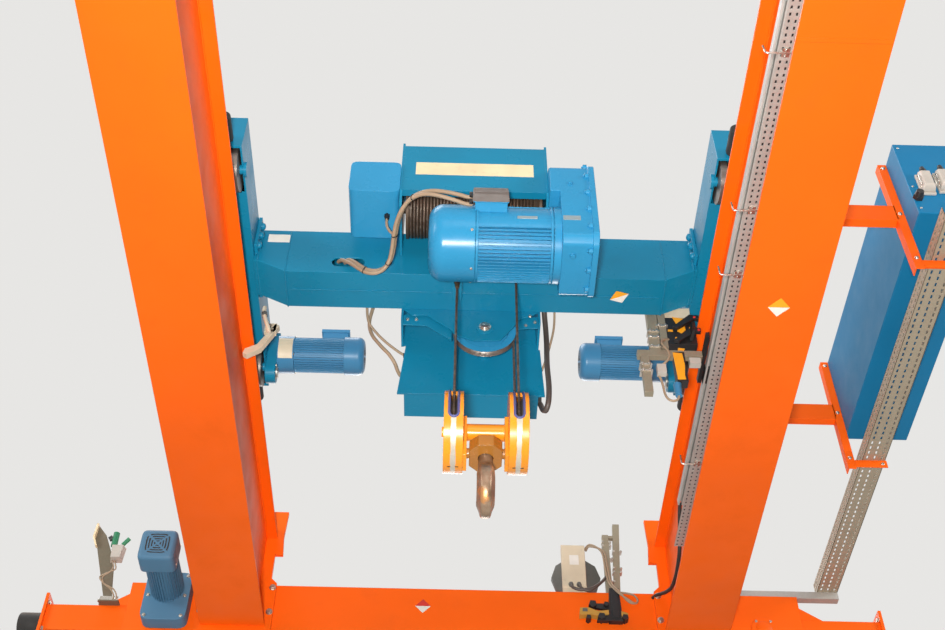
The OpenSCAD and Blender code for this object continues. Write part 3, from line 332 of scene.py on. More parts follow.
class Piece:
    """Collects geometry, in millimetres, for one mesh that rides on one body."""

    def __init__(self, name, body, look, material=None):
        self.name, self.body, self.look = name, body, look
        self.materials = [material or LOOKS[look]]
        self.bm = bmesh.new()
        self.current = 0

    def use(self, material):
        """Faces made from here on take this material."""
        if material not in self.materials:
            self.materials.append(material)
        self.current = self.materials.index(material)
        return self

    def loft(self, rings, closed=True, caps=True):
        """Skins rings of as many points each."""
        rows = [[self.bm.verts.new(Vector(p) * MM) for p in ring] for ring in rings]
        count = len(rows[0])
        faces = []
        for first, second in zip(rows, rows[1:]):
            for i in range(count if closed else count - 1):
                j = (i + 1) % count
                faces.append(self.bm.faces.new((first[i], first[j], second[j], second[i])))
        if caps and closed:
            faces.append(self.bm.faces.new(list(reversed(rows[0]))))
            faces.append(self.bm.faces.new(rows[-1]))
        for face in faces:
            face.material_index = self.current
        return self

    def box(self, lo, hi):
        (x0, y0, z0), (x1, y1, z1) = lo, hi
        ring = lambda z: [(x0, y0, z), (x1, y0, z), (x1, y1, z), (x0, y1, z)]
        return self.loft([ring(z0), ring(z1)])

    def bar(self, start, end, radius, radius2=None, sides=24, twist=0.0):
        """A round bar or cone, or a prism with few sides."""
        start, end = Vector(start), Vector(end)
        side, other, _ = basis(end - start)
        ring = lambda centre, r: [centre + r * (side * math.cos(a) + other * math.sin(a))
                                  for a in (twist + 2 * math.pi * i / sides for i in range(sides))]
        return self.loft([ring(start, radius), ring(end, radius if radius2 is None else radius2)])

    def lathe(self, profile, origin, axis, sides=48):
        """Turns (distance along the axis, radius) pairs round the axis."""
        side, other, axis = basis(axis)
        origin = Vector(origin)
        rings = []
        for along, radius in profile:
            rings.append([origin + axis * along + radius * (side * math.cos(a) + other * math.sin(a))
                          for a in (2 * math.pi * i / sides for i in range(sides))])
        return self.loft(rings)

    def prism(self, outline, origin, across, up, depth):
        """An outline in the plane of across and up, pushed along their normal by depth."""
        origin, across, up = Vector(origin), Vector(across), Vector(up)
        away = across.cross(up).normalized() * depth
        ring = [origin + across * a + up * b for a, b in outline]
        return self.loft([ring, [p + away for p in ring]])

    def tube(self, path, radius, sides=12, closed=False, lobes=0, depth=0.0, lay=1.0):
        """A tube along a path; lobes make it a rope of that many twisted strands."""
        points = [Vector(p) for p in path]
        count = len(points)
        rings, side, run = [], None, 0.0
        for i, point in enumerate(points):
            before = points[i - 1] if i or closed else point
            after = points[(i + 1) % count] if i + 1 < count or closed else point
            along = (after - before).normalized()
            if side is None:
                side = basis(along)[0]
            side = (side - along * side.dot(along)).normalized()
            other = along.cross(side)
            if i:
                run += (point - points[i - 1]).length
            ring = []
            for k in range(sides):
                a = 2 * math.pi * k / sides
                r = radius * (1 - depth * (1 - abs(math.cos(lobes * a / 2)))) if lobes else radius
                turn = a + (2 * math.pi * run / lay if lobes else 0.0)
                ring.append(point + r * (side * math.cos(turn) + other * math.sin(turn)))
            rings.append(ring)
        if closed:
            rings.append(rings[0])
            return self.loft(rings, caps=False)
        return self.loft(rings)

    def bolt(self, place, axis, size=16.0, height=None, washer=True):
        """A hexagon head with a chamfer and a washer, standing on a face."""
        place, axis = Vector(place), Vector(axis).normalized()
        height = height or 0.62 * size
        if washer:
            self.bar(place, place + axis * 0.16 * size, size, sides=24)
            place = place + axis * 0.16 * size
        side, other, axis = basis(axis)
        turn = 0.37 * (place.x + place.y + place.z)
        ring = lambda along, r: [place + axis * along + r * (side * math.cos(turn + math.pi * k / 3)
                                                             + other * math.sin(turn + math.pi * k / 3))
                                 for k in range(6)]
        return self.loft([ring(0, 0.86 * size), ring(height * 0.8, 0.86 * size), ring(height, 0.72 * size)])

    def make(self, bevel=0.0, segments=2, smooth=40.0):
        """Writes the mesh, rounds its edges by bevel millimetres and lets it ride on its body."""
        bmesh.ops.recalc_face_normals(self.bm, faces=self.bm.faces)
        mesh = bpy.data.meshes.new(self.name)
        self.bm.to_mesh(mesh)
        self.bm.free()
        return show(mesh, self.name, self.body, self.materials, bevel, segments, smooth)


def show(mesh, name, body, materials, bevel, segments, smooth):
    for material in materials:
        mesh.materials.append(material)
    for face in mesh.polygons:
        face.use_smooth = True
    mesh.set_sharp_from_angle(angle=math.radians(smooth))
    piece = bpy.data.objects.new(name, mesh)
    bpy.context.scene.collection.objects.link(piece)
    if bevel:
        rounding = piece.modifiers.new("rounding", "BEVEL")
        rounding.width = bevel * MM
        rounding.segments = segments
        rounding.limit_method = "ANGLE"
        rounding.angle_limit = math.radians(smooth)
        rounding.harden_normals = True
    if body:
        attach(piece, body)
    return piece


def node_mesh(node, change=None):
    """A copy of a CAD node's mesh with its flat faces joined, which change(bm) may work on."""
    bm = bmesh.new()
    bm.from_mesh(frame["nodes"][node].data)
    bmesh.ops.remove_doubles(bm, verts=bm.verts, dist=0.00002)
    bmesh.ops.dissolve_limit(bm, angle_limit=math.radians(0.5), verts=bm.verts, edges=bm.edges)
    if change:
        change(bm)
    for face in bm.faces:
        face.material_index = 0
    mesh = bpy.data.meshes.new(node + "_rounded")
    bm.to_mesh(mesh)
    bm.free()
    for name in ("custom_normal", "sharp_face"):
        if name in mesh.attributes:
            mesh.attributes.remove(mesh.attributes[name])
    return mesh


def soften(node, bevel, segments=2, smooth=30.0, material=None, change=None):
    """A copy of a CAD node with its sharp edges rounded, which stands in for the node."""
    look = slot_of[node]
    piece = show(node_mesh(node, change), node + "_rounded", body_of[node], [material or LOOKS[look]],
                 bevel, segments, smooth)
    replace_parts(piece, node)
    return piece


def round_edges(node, chosen, width, segments, smooth=30.0):
    """A copy of a CAD node in which only the edges that chosen(edge) picks are rounded."""
    def change(bm):
        bmesh.ops.bevel(bm, geom=[edge for edge in bm.edges if chosen(edge)], offset=width * MM,
                        segments=segments, profile=0.5, affect="EDGES", clamp_overlap=True)
    return soften(node, 0.0, smooth=smooth, change=change)


def slot_shade(piece, centre, axis, radii, width, parts=4, turn=45.0, square=2.0):
    """Ventilation slots as dark arcs round a centre, drawn out to the corners if square is over 2. The dark arcs are
    painted shade of the openings, which are not cut.
    """
    side, other, axis = basis(axis)
    for radius in radii:
        for k in range(parts):
            start = turn + 360 / parts * k + 260 / radius
            end = turn + 360 / parts * (k + 1) - 260 / radius
            inner = arc(centre, radius - width / 2, side, other, start, end, 8, square)
            outer = arc(centre, radius + width / 2, side, other, start, end, 8, square)
            piece.loft([[a, b, b + axis * 0.5, a + axis * 0.5] for a, b in zip(inner, outer)])


def arc(centre, radius, across, up, start, end, steps, square=2.0):
    """Points on an arc in the plane of across and up, angles in degrees."""
    centre, across, up = Vector(centre), Vector(across), Vector(up)
    angles = [math.radians(start + (end - start) * i / steps) for i in range(steps + 1)]
    reach = [(abs(math.cos(a)) ** square + abs(math.sin(a)) ** square) ** (-1 / square) for a in angles]
    return [centre + radius * r * (across * math.cos(a) + up * math.sin(a)) for a, r in zip(angles, reach)]


def curve(points, steps=6):
    """A smooth path through points (Catmull-Rom)."""
    points = [Vector(p) for p in points]
    path = []
    for i in range(len(points) - 1):
        p0, p1 = points[max(i - 1, 0)], points[i]
        p2, p3 = points[i + 1], points[min(i + 2, len(points) - 1)]
        for k in range(steps):
            t = k / steps
            path.append(0.5 * (2 * p1 + (p2 - p0) * t + (2 * p0 - 5 * p1 + 4 * p2 - p3) * t * t
                               + (3 * p1 - p0 - 3 * p2 + p3) * t * t * t))
    return path + [points[-1]]


def weld(piece, start, end, size=5.0, step=12.0):
    """A rippled weld bead between two points."""
    start, end = Vector(start), Vector(end)
    count = max(3, int((end - start).length / step))
    side, other, _ = basis(end - start)
    rings = []
    for i in range(count + 1):
        centre = start.lerp(end, i / count)
        r = size * (1.0 + 0.22 * (i % 2) + 0.15 * noise.noise(centre * 0.02))
        rings.append([centre + r * (side * math.cos(a) + other * math.sin(a))
                      for a in (math.pi * k / 4 for k in range(8))])
    piece.loft(rings)


def perforated(piece, origin, along, across, cells, pitch, hole, thickness):
    """A sheet of cells, each with a rectangular hole; origin is the sheet's corner."""
    origin, along, across = Vector(origin), Vector(along), Vector(across)
    down = along.cross(across).normalized() * thickness
    rim_a, rim_b = (pitch[0] - hole[0]) / 2, (pitch[1] - hole[1]) / 2
    outer = [(0, 0), (pitch[0], 0), (pitch[0], pitch[1]), (0, pitch[1])]
    inner = [(rim_a, rim_b), (pitch[0] - rim_a, rim_b), (pitch[0] - rim_a, pitch[1] - rim_b), (rim_a, pitch[1] - rim_b)]
    for i in range(cells[0]):
        for j in range(cells[1]):
            corner = origin + along * (i * pitch[0]) + across * (j * pitch[1])
            rings = []
            for ring, shift in ((outer, 0), (inner, 0), (inner, 1), (outer, 1)):
                rings.append([corner + along * a + across * b + down * shift for a, b in ring])
            piece.loft(rings, caps=False)


def lead(name, body, look, points, radius, node=None):
    """A loose cable on a smooth route through points, which may stand in for a CAD node."""
    path = curve(points)
    cable = Piece(name, body, look)
    cable.tube(path, radius, sides=16)
    piece = cable.make(smooth=60)
    if node:
        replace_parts(piece, node)
    return path


# ---------------------------------------------------------------- girders and end carriages
def conductor_fittings():
    """Perforated strip along the right girder with the clips and hangers of the conductor rail."""
    lo, hi = low("conductor_strip"), high("conductor_strip")
    rail_lo, rail_hi = low("conductor_rail"), high("conductor_rail")
    strip = Piece("perforated_strip", "bridge", "galvanised")
    rows = round((hi.y - lo.y) / 25)
    perforated(strip, (lo.x, lo.y, lo.z + 3), Y, X, (rows, 3), ((hi.y - lo.y) / rows, 22), (12, 7), 3)
    strip.box((hi.x - 3, lo.y, lo.z + 3), (hi.x, hi.y, lo.z + 50))
    # A black sheet lies on the inner face of the perforated strip, so its holes show black: painted shade of the space
    # behind the holes.
    strip.use(BLACK)
    strip.box((lo.x + 2, lo.y + 2, lo.z + 3.1), (hi.x - 3, hi.y - 2, lo.z + 4.5))
    strip.use(LOOKS["galvanised"])
    for i in range(9):
        y = lo.y + 250 + i * (hi.y - lo.y - 500) / 8
        strip.box((rail_hi.x, y - 20, rail_lo.z + 8), (hi.x, y + 20, rail_hi.z - 8))
    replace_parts(strip.make(), "conductor_strip")
    hangers = Piece("strip_hangers", "bridge", "galvanised", BRIGHT)
    for y in (-3721, -2613, -1500, -400, 700, 1700, 2346, 2650, 3721):
        hangers.tube(curve([(1012, y, 198), (985, y, 196), (950, y, 194), (916, y, 194), (906, y, 198), (904, y, 212)],
                           4),
                     3.4, sides=8)
        hangers.box((958, y - 16, 195), (984, y + 16, 199.8))
        for dy in (-11, 11):
            hangers.bolt((971, y + dy, 195), -Z, size=5)
        # Each hanger's tip goes on as a short stub in the darker weathered zinc. It is painted shadow: a shaded copy of
        # the bright rod, placed where the rod's shadow lies on the web.
        hangers.use(DULL)
        hangers.bar((905, y, 212), (906, y + 8, 250), 3.4, sides=8)
        hangers.use(BRIGHT)
    hangers.make(smooth=60)
    joints = Piece("rail_joints", "bridge", "dark_plastic", BLACK)
    for y in (-2600, -600, 1400, 3400):
        joints.box((rail_lo.x - 2, y - 45, rail_lo.z + 6), (rail_hi.x + 1, y + 45, rail_hi.z + 2))
    joints.make(bevel=1.5)


def tray_fittings():
    """The perforated cable tray."""
    lo, hi = low("cable_tray"), high("cable_tray")
    tray = Piece("perforated_tray", "bridge", "galvanised", TRAY)
    rows = round((hi.y - lo.y) / 32)
    pitch = (hi.y - lo.y) / rows
    perforated(tray, (lo.x + 3, lo.y, lo.z + 3), Y, X, (rows, 3), (pitch, (hi.x - lo.x - 6) / 3), (19, 8), 3)
    for x in (lo.x, hi.x - 3):
        perforated(tray, (x, lo.y, lo.z), Y, Z, (rows, 2), (pitch, 28), (19, 8), 3)
        tray.box((x, lo.y, hi.z - 4), (x + 3, hi.y, hi.z))
    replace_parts(tray.make(), "cable_tray")


def bracket_fittings():
    """The cabinet's brackets as angle sections with their bolts."""
    lo, hi = low("cabinet_brackets"), high("cabinet_brackets")
    wall = low("control_cabinet").x
    arms = Piece("cabinet_bracket_angles", "bridge", "orange")
    bolts = Piece("cabinet_bracket_bolts", "bridge", "galvanised", BRIGHT)
    t = 5.0
    for y in (lo.y + 20, hi.y - 20):
        arms.box((wall - 36, y - 20, lo.z), (wall, y - 20 + t, hi.z))
        arms.box((wall - 36, y - 20 + t, lo.z), (wall - 36 + t, y + 20, hi.z))
        arms.box((lo.x, y - 20, girder_top), (wall - 36, y + 20, girder_top + t))
        arms.box((lo.x, y - 20, girder_top + t), (wall - 30, y - 20 + t, girder_top + 95))
        arms.box((wall, y - 20, lo.z + 45), (hi.x, y + 20, lo.z + 50))
        arms.box((wall, y - 20, lo.z + 10), (hi.x, y - 20 + t, lo.z + 45))
        for z in (girder_top + 40, hi.z - 28, lo.z + 60):
            bolts.lathe([(0, 9), (3, 9), (6, 7), (8, 3)], (wall - 19, y - 20, z), -Y, sides=20)
        for x in (lo.x + 30, lo.x + 100):
            bolts.bolt((x, y + 6, girder_top + t), Z, size=11)
        bolts.bolt((hi.x - 22, y - 20, lo.z + 28), -Y, size=8)
    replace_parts(arms.make(bevel=1.0), "cabinet_brackets")
    bolts.make()


def cabinet_fittings():
    """Plug connectors with levers and glands, and the screws of the cabinet."""
    lo, hi = low("cabinet_connectors"), high("cabinet_connectors")
    cab_lo, cab_hi = low("control_cabinet"), high("control_cabinet")
    shells = Piece("plug_housings", "bridge", "grey_plastic", HOUSING)
    glands = Piece("plug_glands", "bridge", "dark_plastic", BLACK)
    levers = Piece("plug_levers", "bridge", "galvanised", BRIGHT)
    for i in range(3):
        x = lo.x + 27 + i * (hi.x - lo.x - 54) / 2
        rise = (0, 14, 36)[i]
        ring = lambda y, a, b, c: [(x - a, y, b), (x + a, y, b), (x + a, y, c), (x - a, y, c)]
        shells.box((x - 30, hi.y - 12, lo.z - 8 + rise), (x + 30, hi.y, hi.z + 8 + rise))
        shells.loft([ring(hi.y - 12, 25, lo.z + 2 + rise, hi.z - 2 + rise),
                     ring(hi.y - 30, 25, lo.z + 2 + rise, hi.z - 2 + rise),
                     ring(lo.y, 18, lo.z + 14 + rise, hi.z - 8 + rise)])
        glands.bar((x, lo.y + 18, hi.z - 4 + rise), (x, lo.y + 18, hi.z + 14 + rise), 14, sides=6)
        glands.bar((x, lo.y + 18, hi.z + 14 + rise), (x, lo.y + 18, hi.z + 32 + rise), 12, 9, sides=20)
        for side in (-1, 1):
            levers.tube([(x + side * 27, hi.y - 22, lo.z + 20 + rise), (x + side * 29, hi.y - 34, lo.z + 30 + rise),
                         (x + side * 29, hi.y - 36, hi.z - 30 + rise), (x + side * 27, hi.y - 24, hi.z - 20 + rise)], 3,
                         sides=8)
    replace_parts(shells.make(bevel=3.0, segments=3), "cabinet_connectors")
    for x, z in ((1745, 640), (1905, 610)):
        glands.bar((x, cab_lo.y, z), (x, cab_lo.y - 16, z), 22, sides=6)
        glands.bar((x, cab_lo.y - 16, z), (x, cab_lo.y - 38, z), 18, 14, sides=20)
    glands.make(bevel=1.0)
    levers.make(smooth=60)
    screws = Piece("cabinet_screws", "bridge", "galvanised", BRIGHT)
    for y, axis in ((cab_lo.y, -Y), (cab_hi.y, Y)):
        for x in (cab_lo.x + 16, cab_hi.x - 16):
            for z in (cab_lo.z + 30, cab_lo.z + 170, cab_hi.z - 30):
                screws.lathe([(0, 5), (2, 5), (3.5, 3)], (x, y, z), axis, sides=16)
    screws.make()
    seams = Piece("cabinet_door_seams", "bridge", "cabinet_blue")
    for a, b in ((cab_lo.y + 14, (cab_lo.y + cab_hi.y) / 2 - 2), ((cab_lo.y + cab_hi.y) / 2 + 2, cab_hi.y - 14)):
        seams.box((cab_hi.x - 2, a, cab_lo.z + 12), (cab_hi.x + 2.5, b, cab_hi.z - 12))
        seams.bar((cab_hi.x + 2, b - 30, cab_lo.z + 230), (cab_hi.x + 9, b - 30, cab_lo.z + 230), 14, sides=32)
    seams.make(bevel=1.5)


def collector_fittings():
    """Bars, holder, housings and shoes of the current collectors on the crab."""
    lo, hi = low("collector_bars"), high("collector_bars")
    y, arm = lo.y + 112, low("conductor_rail").z + 16
    bars = Piece("collector_bar_set", "crab", "galvanised", BAR)
    bars.box((745, y, arm + 33), (788, y + 30, 900))
    bars.box((792, y, arm + 45), (823, y + 30, 900))
    bars.box((687, y, arm), (960, y + 30, arm + 33))
    bars.box((699, y, lo.z), (734, y + 30, arm))
    bars.use(BRIGHT)
    for x, z in ((766, 566), (766, 528), (716, 362), (716, 326), (766, 470), (806, 600)):
        bars.box((x - 26, y - 5, z - 4), (x + 26, y + 35, z + 4))
        bars.bolt((x - 14, y - 5, z), -Y, size=7)
        bars.bolt((x + 14, y - 5, z), -Y, size=7)
    bars.use(CREAM)
    bars.box((826, y + 6, 664), (938, y + 60, 722))
    bars.use(HOUSING)
    bars.box((900, y - 8, 366), (947, y + 20, 402))
    bars.box((758, y - 18, 300), (796, y + 10, 350))
    bars.use(BLACK)
    bars.box((960, lo.y, arm + 3), (975, hi.y - 10, arm + 30))
    bars.box((824, y + 7, arm + 79), (950, y + 67, arm + 243))
    bars.prism([(0, 0), (48, 22), (48, 70), (0, 52)], (930, y + 4, arm + 96), (0.22, -0.975, 0), Z, 14)
    bars.box((838, y - 2, arm - 150), (884, y + 40, arm + 22))
    for k in (-90, -30, 60, 130):
        bars.box((973, y + 15 + k - 18, arm + 8), (977.5, y + 15 + k + 18, arm + 25))
    bars.use(YELLOW)
    for outline in ([(857, 662), (904, 653), (907, 583), (890, 562), (871, 574), (875, 606)],
                    [(858, 536), (894, 532), (890, 518), (854, 513)], [(831, 583), (853, 581), (852, 571), (830, 574)],
                    [(924, 600), (934, 596), (931, 574), (922, 578)], [(862, 470), (892, 466), (884, 452), (858, 446)]):
        bars.prism([(a, b) for a, b in reversed(outline)], (0, y + 7, 0), X, Z, 4)
    bars.prism([(834, 432), (840, 274), (874, 276), (872, 300), (878, 360), (874, 428)], (0, y - 3, 0), X, Z, 3)
    bars.use(LOOKS["motor_blue"])
    bars.bar((838, y + 14, 262), (838, y + 14, 196), 17, 14, sides=20)
    bars.use(BLACK)
    for z in (640, 560):
        bars.prism([(846, z - 62), (868, z - 70), (944, z - 8), (966, z - 10), (968, z + 14), (926, z + 16)],
                   (0, y - 2, 0), X, Z, 16)
    bars.use(RED)
    for x, z in ((948, 640), (940, 566), (958, 560)):
        bars.bar((x, y - 20, z), (x, y - 16, z), 6, sides=16)
    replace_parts(bars.make(bevel=2.0), "collector_bars")
    lead("collector_plug_cable", "crab", "cable",
         [(838, y + 22, 270), (838, y + 18, 236), (838, y + 14, 204), (837, y + 15, 190), (828, y + 17, 176),
          (810, y + 18, 172), (792, y + 18, 184), (782, y + 16, 212),
          (778, y + 12, 250), (772, y + 8, 284), (762, y + 6, 312)], 5.0)
    lead("collector_loop_cable", "crab", "cable",
         [(828, y + 8, 524), (816, y, 516), (800, y - 10, 500), (790, y - 22, 470), (800, y - 30, 436),
          (812, y - 32, 404),
          (810, y - 28, 376), (796, y - 20, 358), (780, y - 10, 350), (762, y - 2, 352)], 5.0)


def supply_fittings():
    """Bars and current collectors of the runway supply on the far carriage, with the junction box."""
    lo = low("supply_post")
    y = low("tray_channel").y
    post = Piece("supply_post_set", "bridge", "galvanised")
    post.materials[0] = BAR
    post.box((702, y - 8, lo.z + 185), (734, y + 20, 708))
    post.prism([(740, 346), (772, 346), (796, 780), (762, 780)], (0, y + 20, 0), X, Z, 26)
    post.box((706, y - 4, 690), (768, y + 20, 706))
    post.use(BRIGHT)
    for x, z in ((722, 664), (722, 640), (774, 606), (768, 500), (766, 476), (728, 420), (728, 560)):
        post.box((x - 24, y - 5, z - 4), (x + 24, y + 24, z + 4))
        post.bolt((x - 18, y - 5, z), -Y, size=7)
        post.bolt((x + 18, y - 5, z), -Y, size=7)
    post.use(BLACK)
    post.prism([(700, 160), (768, 160), (758, 352), (712, 352)], (0, y - 8, 0), X, Z, 34)
    post.box((718, y - 46, 176), (750, y - 40, 340))
    for x, z, r in ((624, 250, 21), (664, 166, 20), (600, 172, 13), (778, 172, 17), (690, 250, 14)):
        post.bar((x, y - 55, max(z, 160 + r)), (x, y - 12, max(z, 160 + r)), r, sides=5, twist=0.4)
    post.prism([(640, 160), (706, 160), (706, 200), (660, 196)], (0, y - 20, 0), X, Z, 24)
    post.prism([(634, 238), (706, 226), (706, 262), (640, 262)], (0, y - 20, 0), X, Z, 18)
    post.use(OLIVE)
    post.prism([(556, 184), (604, 190), (640, 182), (700, 192), (700, 216), (648, 208), (604, 228), (560, 226)],
               (0, y - 16, 0), X, Z, 36)
    post.prism([(762, 178), (794, 182), (794, 204), (762, 214)], (0, y - 16, 0), X, Z, 30)
    post.use(DISC)
    post.box((572, y - 54, 204), (596, y - 50, 222))
    for shift in (0, 40):
        post.bar((528 + shift, y - 2, 402), (528 + shift, y - 10, 386), 13, sides=6)
    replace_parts(post.make(bevel=1.5), "supply_post")
    shell = Piece("junction_box_shell", "bridge", "grey_plastic", HOUSING)
    box_lo, box_hi = low("junction_box"), high("junction_box")
    middle_x, middle_z = (box_lo.x + box_hi.x) / 2, box_lo.z + 125
    shell.use(DISC)
    shell.lathe([(0, 118), (3, 125), (32, 125), (35, 118)], (middle_x, y + 40, middle_z), Y, sides=10)
    shell.use(CREAM)
    shell.box((488, y + 4, box_lo.z), (606, y + 40, box_lo.z + 297))
    shell.loft([[(486, y + 4, box_lo.z + 36), (608, y + 4, box_lo.z + 36), (608, y + 4, box_lo.z + 299),
                 (486, y + 4, box_lo.z + 299)],
                [(489, y - 4, box_lo.z + 42), (605, y - 4, box_lo.z + 42), (605, y - 4, box_lo.z + 294),
                 (489, y - 4, box_lo.z + 294)]])
    shell.use(WHITE)
    shell.box((527, y - 4.6, box_lo.z + 172), (574, y - 4, box_lo.z + 232))
    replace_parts(shell.make(bevel=3.0, segments=3), "junction_box")


def photocell_fittings():
    """The bent galvanised plate with its sensor at the left end of the far carriage."""
    y = low("photocell_bracket").y
    plate = Piece("photocell_plate", "bridge", "galvanised", DULL)
    plate.prism([(-1794, 290), (-1752, 290), (-1762, 345), (-1782, 480), (-1803, 548), (-1862, 681), (-1912, 742),
                 (-1914, 650),
                 (-1894, 602)], (0, y + 4, 0), X, Z, 4)
    plate.box((-1800, y - 60, 238), (-1700, y + 4, 244))
    plate.use(STRIP)
    plate.prism([(-1924, 655), (-1914, 655), (-1910, 742), (-1920, 742)], (0, y + 4, 0), X, Z, 26)
    plate.prism([(-1902, 602), (-1892, 602), (-1914, 655), (-1924, 655)], (0, y + 4, 0), X, Z, 26)
    plate.use(BRIGHT)
    plate.box((-1818, y - 12, 268), (-1712, y - 2, 282))
    plate.box((-1800, y - 16, 244), (-1736, y + 4, 296))
    for x in (-1806, -1724):
        plate.bolt((x, y - 12, 275), -Y, size=7)
        plate.bar((x, y - 7, 250), (x, y - 7, 300), 4, sides=12)
    plate.use(HOUSING)
    plate.loft([[(-1806, y, 508), (-1748, y, 508), (-1742, y, 598), (-1812, y, 598)],
                [(-1800, y - 44, 514), (-1754, y - 44, 514), (-1750, y - 44, 590), (-1806, y - 44, 590)]])
    plate.use(GREEN)
    plate.bar((-1803, y - 20, 596), (-1803, y - 26, 676), 16, sides=20)
    plate.bar((-1760, y - 20, 606), (-1730, y - 30, 640), 11, sides=20)
    plate.use(BLACK)
    plate.bar((-1836, y - 18, 640), (-1818, y - 22, 652), 14, sides=20)
    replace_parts(plate.make(bevel=1.5), "photocell_bracket")
    for k, reach in (("one", 0), ("two", 14)):
        lead("photocell_cable_" + k, "bridge", "cable",
             [(-1790 + reach, y - 16, 510), (-1788 + reach, y - 34, 492), (-1772 + reach, y - 44, 455 - reach),
              (-1782, y - 46, 420),
              (-1812 - reach, y - 42, 392), (-1800, y - 36, 356), (-1764 + reach, y - 30, 330),
              (-1742 + reach, y - 20, 296),
              (-1746 + reach, y - 10, 262), (-1746 + reach, y - 8, 246)], 3.6)


def travel_drive_fittings():
    """Painted shade in the fan slots, screws and gearbox bolts of the two bridge drives."""
    lo, hi = low("travel_motors"), high("travel_motors")
    centre = middle("travel_motors")
    # Dark arcs on the fan cover: painted shade of its ventilation slots, which are not cut.
    slots = Piece("travel_fan_slot_shade", "bridge", "dark_plastic", BLACK)
    screws = Piece("travel_drive_screws", "bridge", "galvanised", BOLT)
    box_lo, box_hi = low("travel_gearboxes"), high("travel_gearboxes")
    for side in (-1, 1):
        root = side * (box_hi.y - 80)
        end = root - side * 360
        slot_shade(slots, (centre.x, end, centre.z), (0, -side, 0), (13, 26, 39, 52), 6, square=4.5)
        for x in (lo.x, hi.x):
            for z in (lo.z + 30, hi.z - 30):
                screws.bolt((x, end + side * 85, z), (-1 if x == lo.x else 1, 0, 0), size=5)
        for x in (box_lo.x + 22, box_hi.x - 22):
            for z in (box_lo.z + 22, box_hi.z - 22, (box_lo.z + box_hi.z) / 2):
                screws.bolt((x, root, z), (0, -side, 0), size=9)
    slots.make()
    screws.make(bevel=0.4)


def crab_drive_fittings():
    """Painted shade in the fan slots, lid screws and cover bolts of the crab drives, and the lift-off claw."""
    lo, hi = low("crab_drive_motors"), high("crab_drive_motors")
    box_lo, box_hi = low("crab_drive_gearboxes"), high("crab_drive_gearboxes")
    y, z = (box_lo.y + box_hi.y) / 2, lo.z + 89
    # Dark arcs on the fan cover: painted shade of its ventilation slots, which are not cut.
    slots = Piece("crab_fan_slot_shade", "crab", "dark_plastic", BLACK)
    screws = Piece("crab_drive_screws", "crab", "galvanised", BOLT)
    for side in (-1, 1):
        slot_shade(slots, (side * 501, y, z), (-side, 0, 0), (16, 28, 40, 52), 5)
        for x in (590, 692):
            for dy in (-44, 44):
                screws.bolt((side * x, y + dy, hi.z), Z, size=5, washer=False)
        for dz in (-62, 62):
            for dy in (-36, 36):
                screws.bolt((side * 825, y + dy * 1.7, z + dz * 0.9), (-side, 0, 0), size=6, washer=False)
        for dy, zz in ((-38, box_lo.z + 60), (38, box_lo.z + 60), (-38, box_hi.z - 14), (38, box_hi.z - 14),
                       (0, box_lo.z + 16)):
            screws.bolt((side * 900, y + dy, zz), (-side, 0, 0), size=6)
        screws.bar((side * 900, y, box_lo.z + 55), (side * 894, y, box_lo.z + 55), 26, sides=32)
    slots.make()
    screws.make(bevel=0.4)
    claw = Piece("lift_off_claw", "crab", "grey_plastic", CREAM)
    claw.prism([(-884, 752), (-866, 738), (-932, 590), (-988, 550), (-1006, 560), (-1000, 588), (-950, 618)],
               (0, 3504, 0), X, Z, 28)
    claw.box((-930, 3476, 700), (-878, 3504, 752))
    for zz in (716, 738):
        claw.bolt((-898, 3476, zz), -Y, size=8)
    rings = [[(x, y + r * math.cos(math.radians(a)), z + r * math.sin(math.radians(a))) for x, r in
              ((-896, 87), (-896, 88.6), (-830, 88.6), (-830, 87))] for a in range(166, 237, 5)]
    claw.loft(rings)
    claw.tube(curve([(-914, 3330, 696), (-912, 3322, 660), (-902, 3318, 615), (-888, 3320, 575), (-876, 3330, 540)]), 9,
              sides=14)
    claw.use(DISC)
    claw.bar((-909, 3321, 650), (-905, 3319, 630), 14, sides=6)
    claw.make(bevel=2.0)


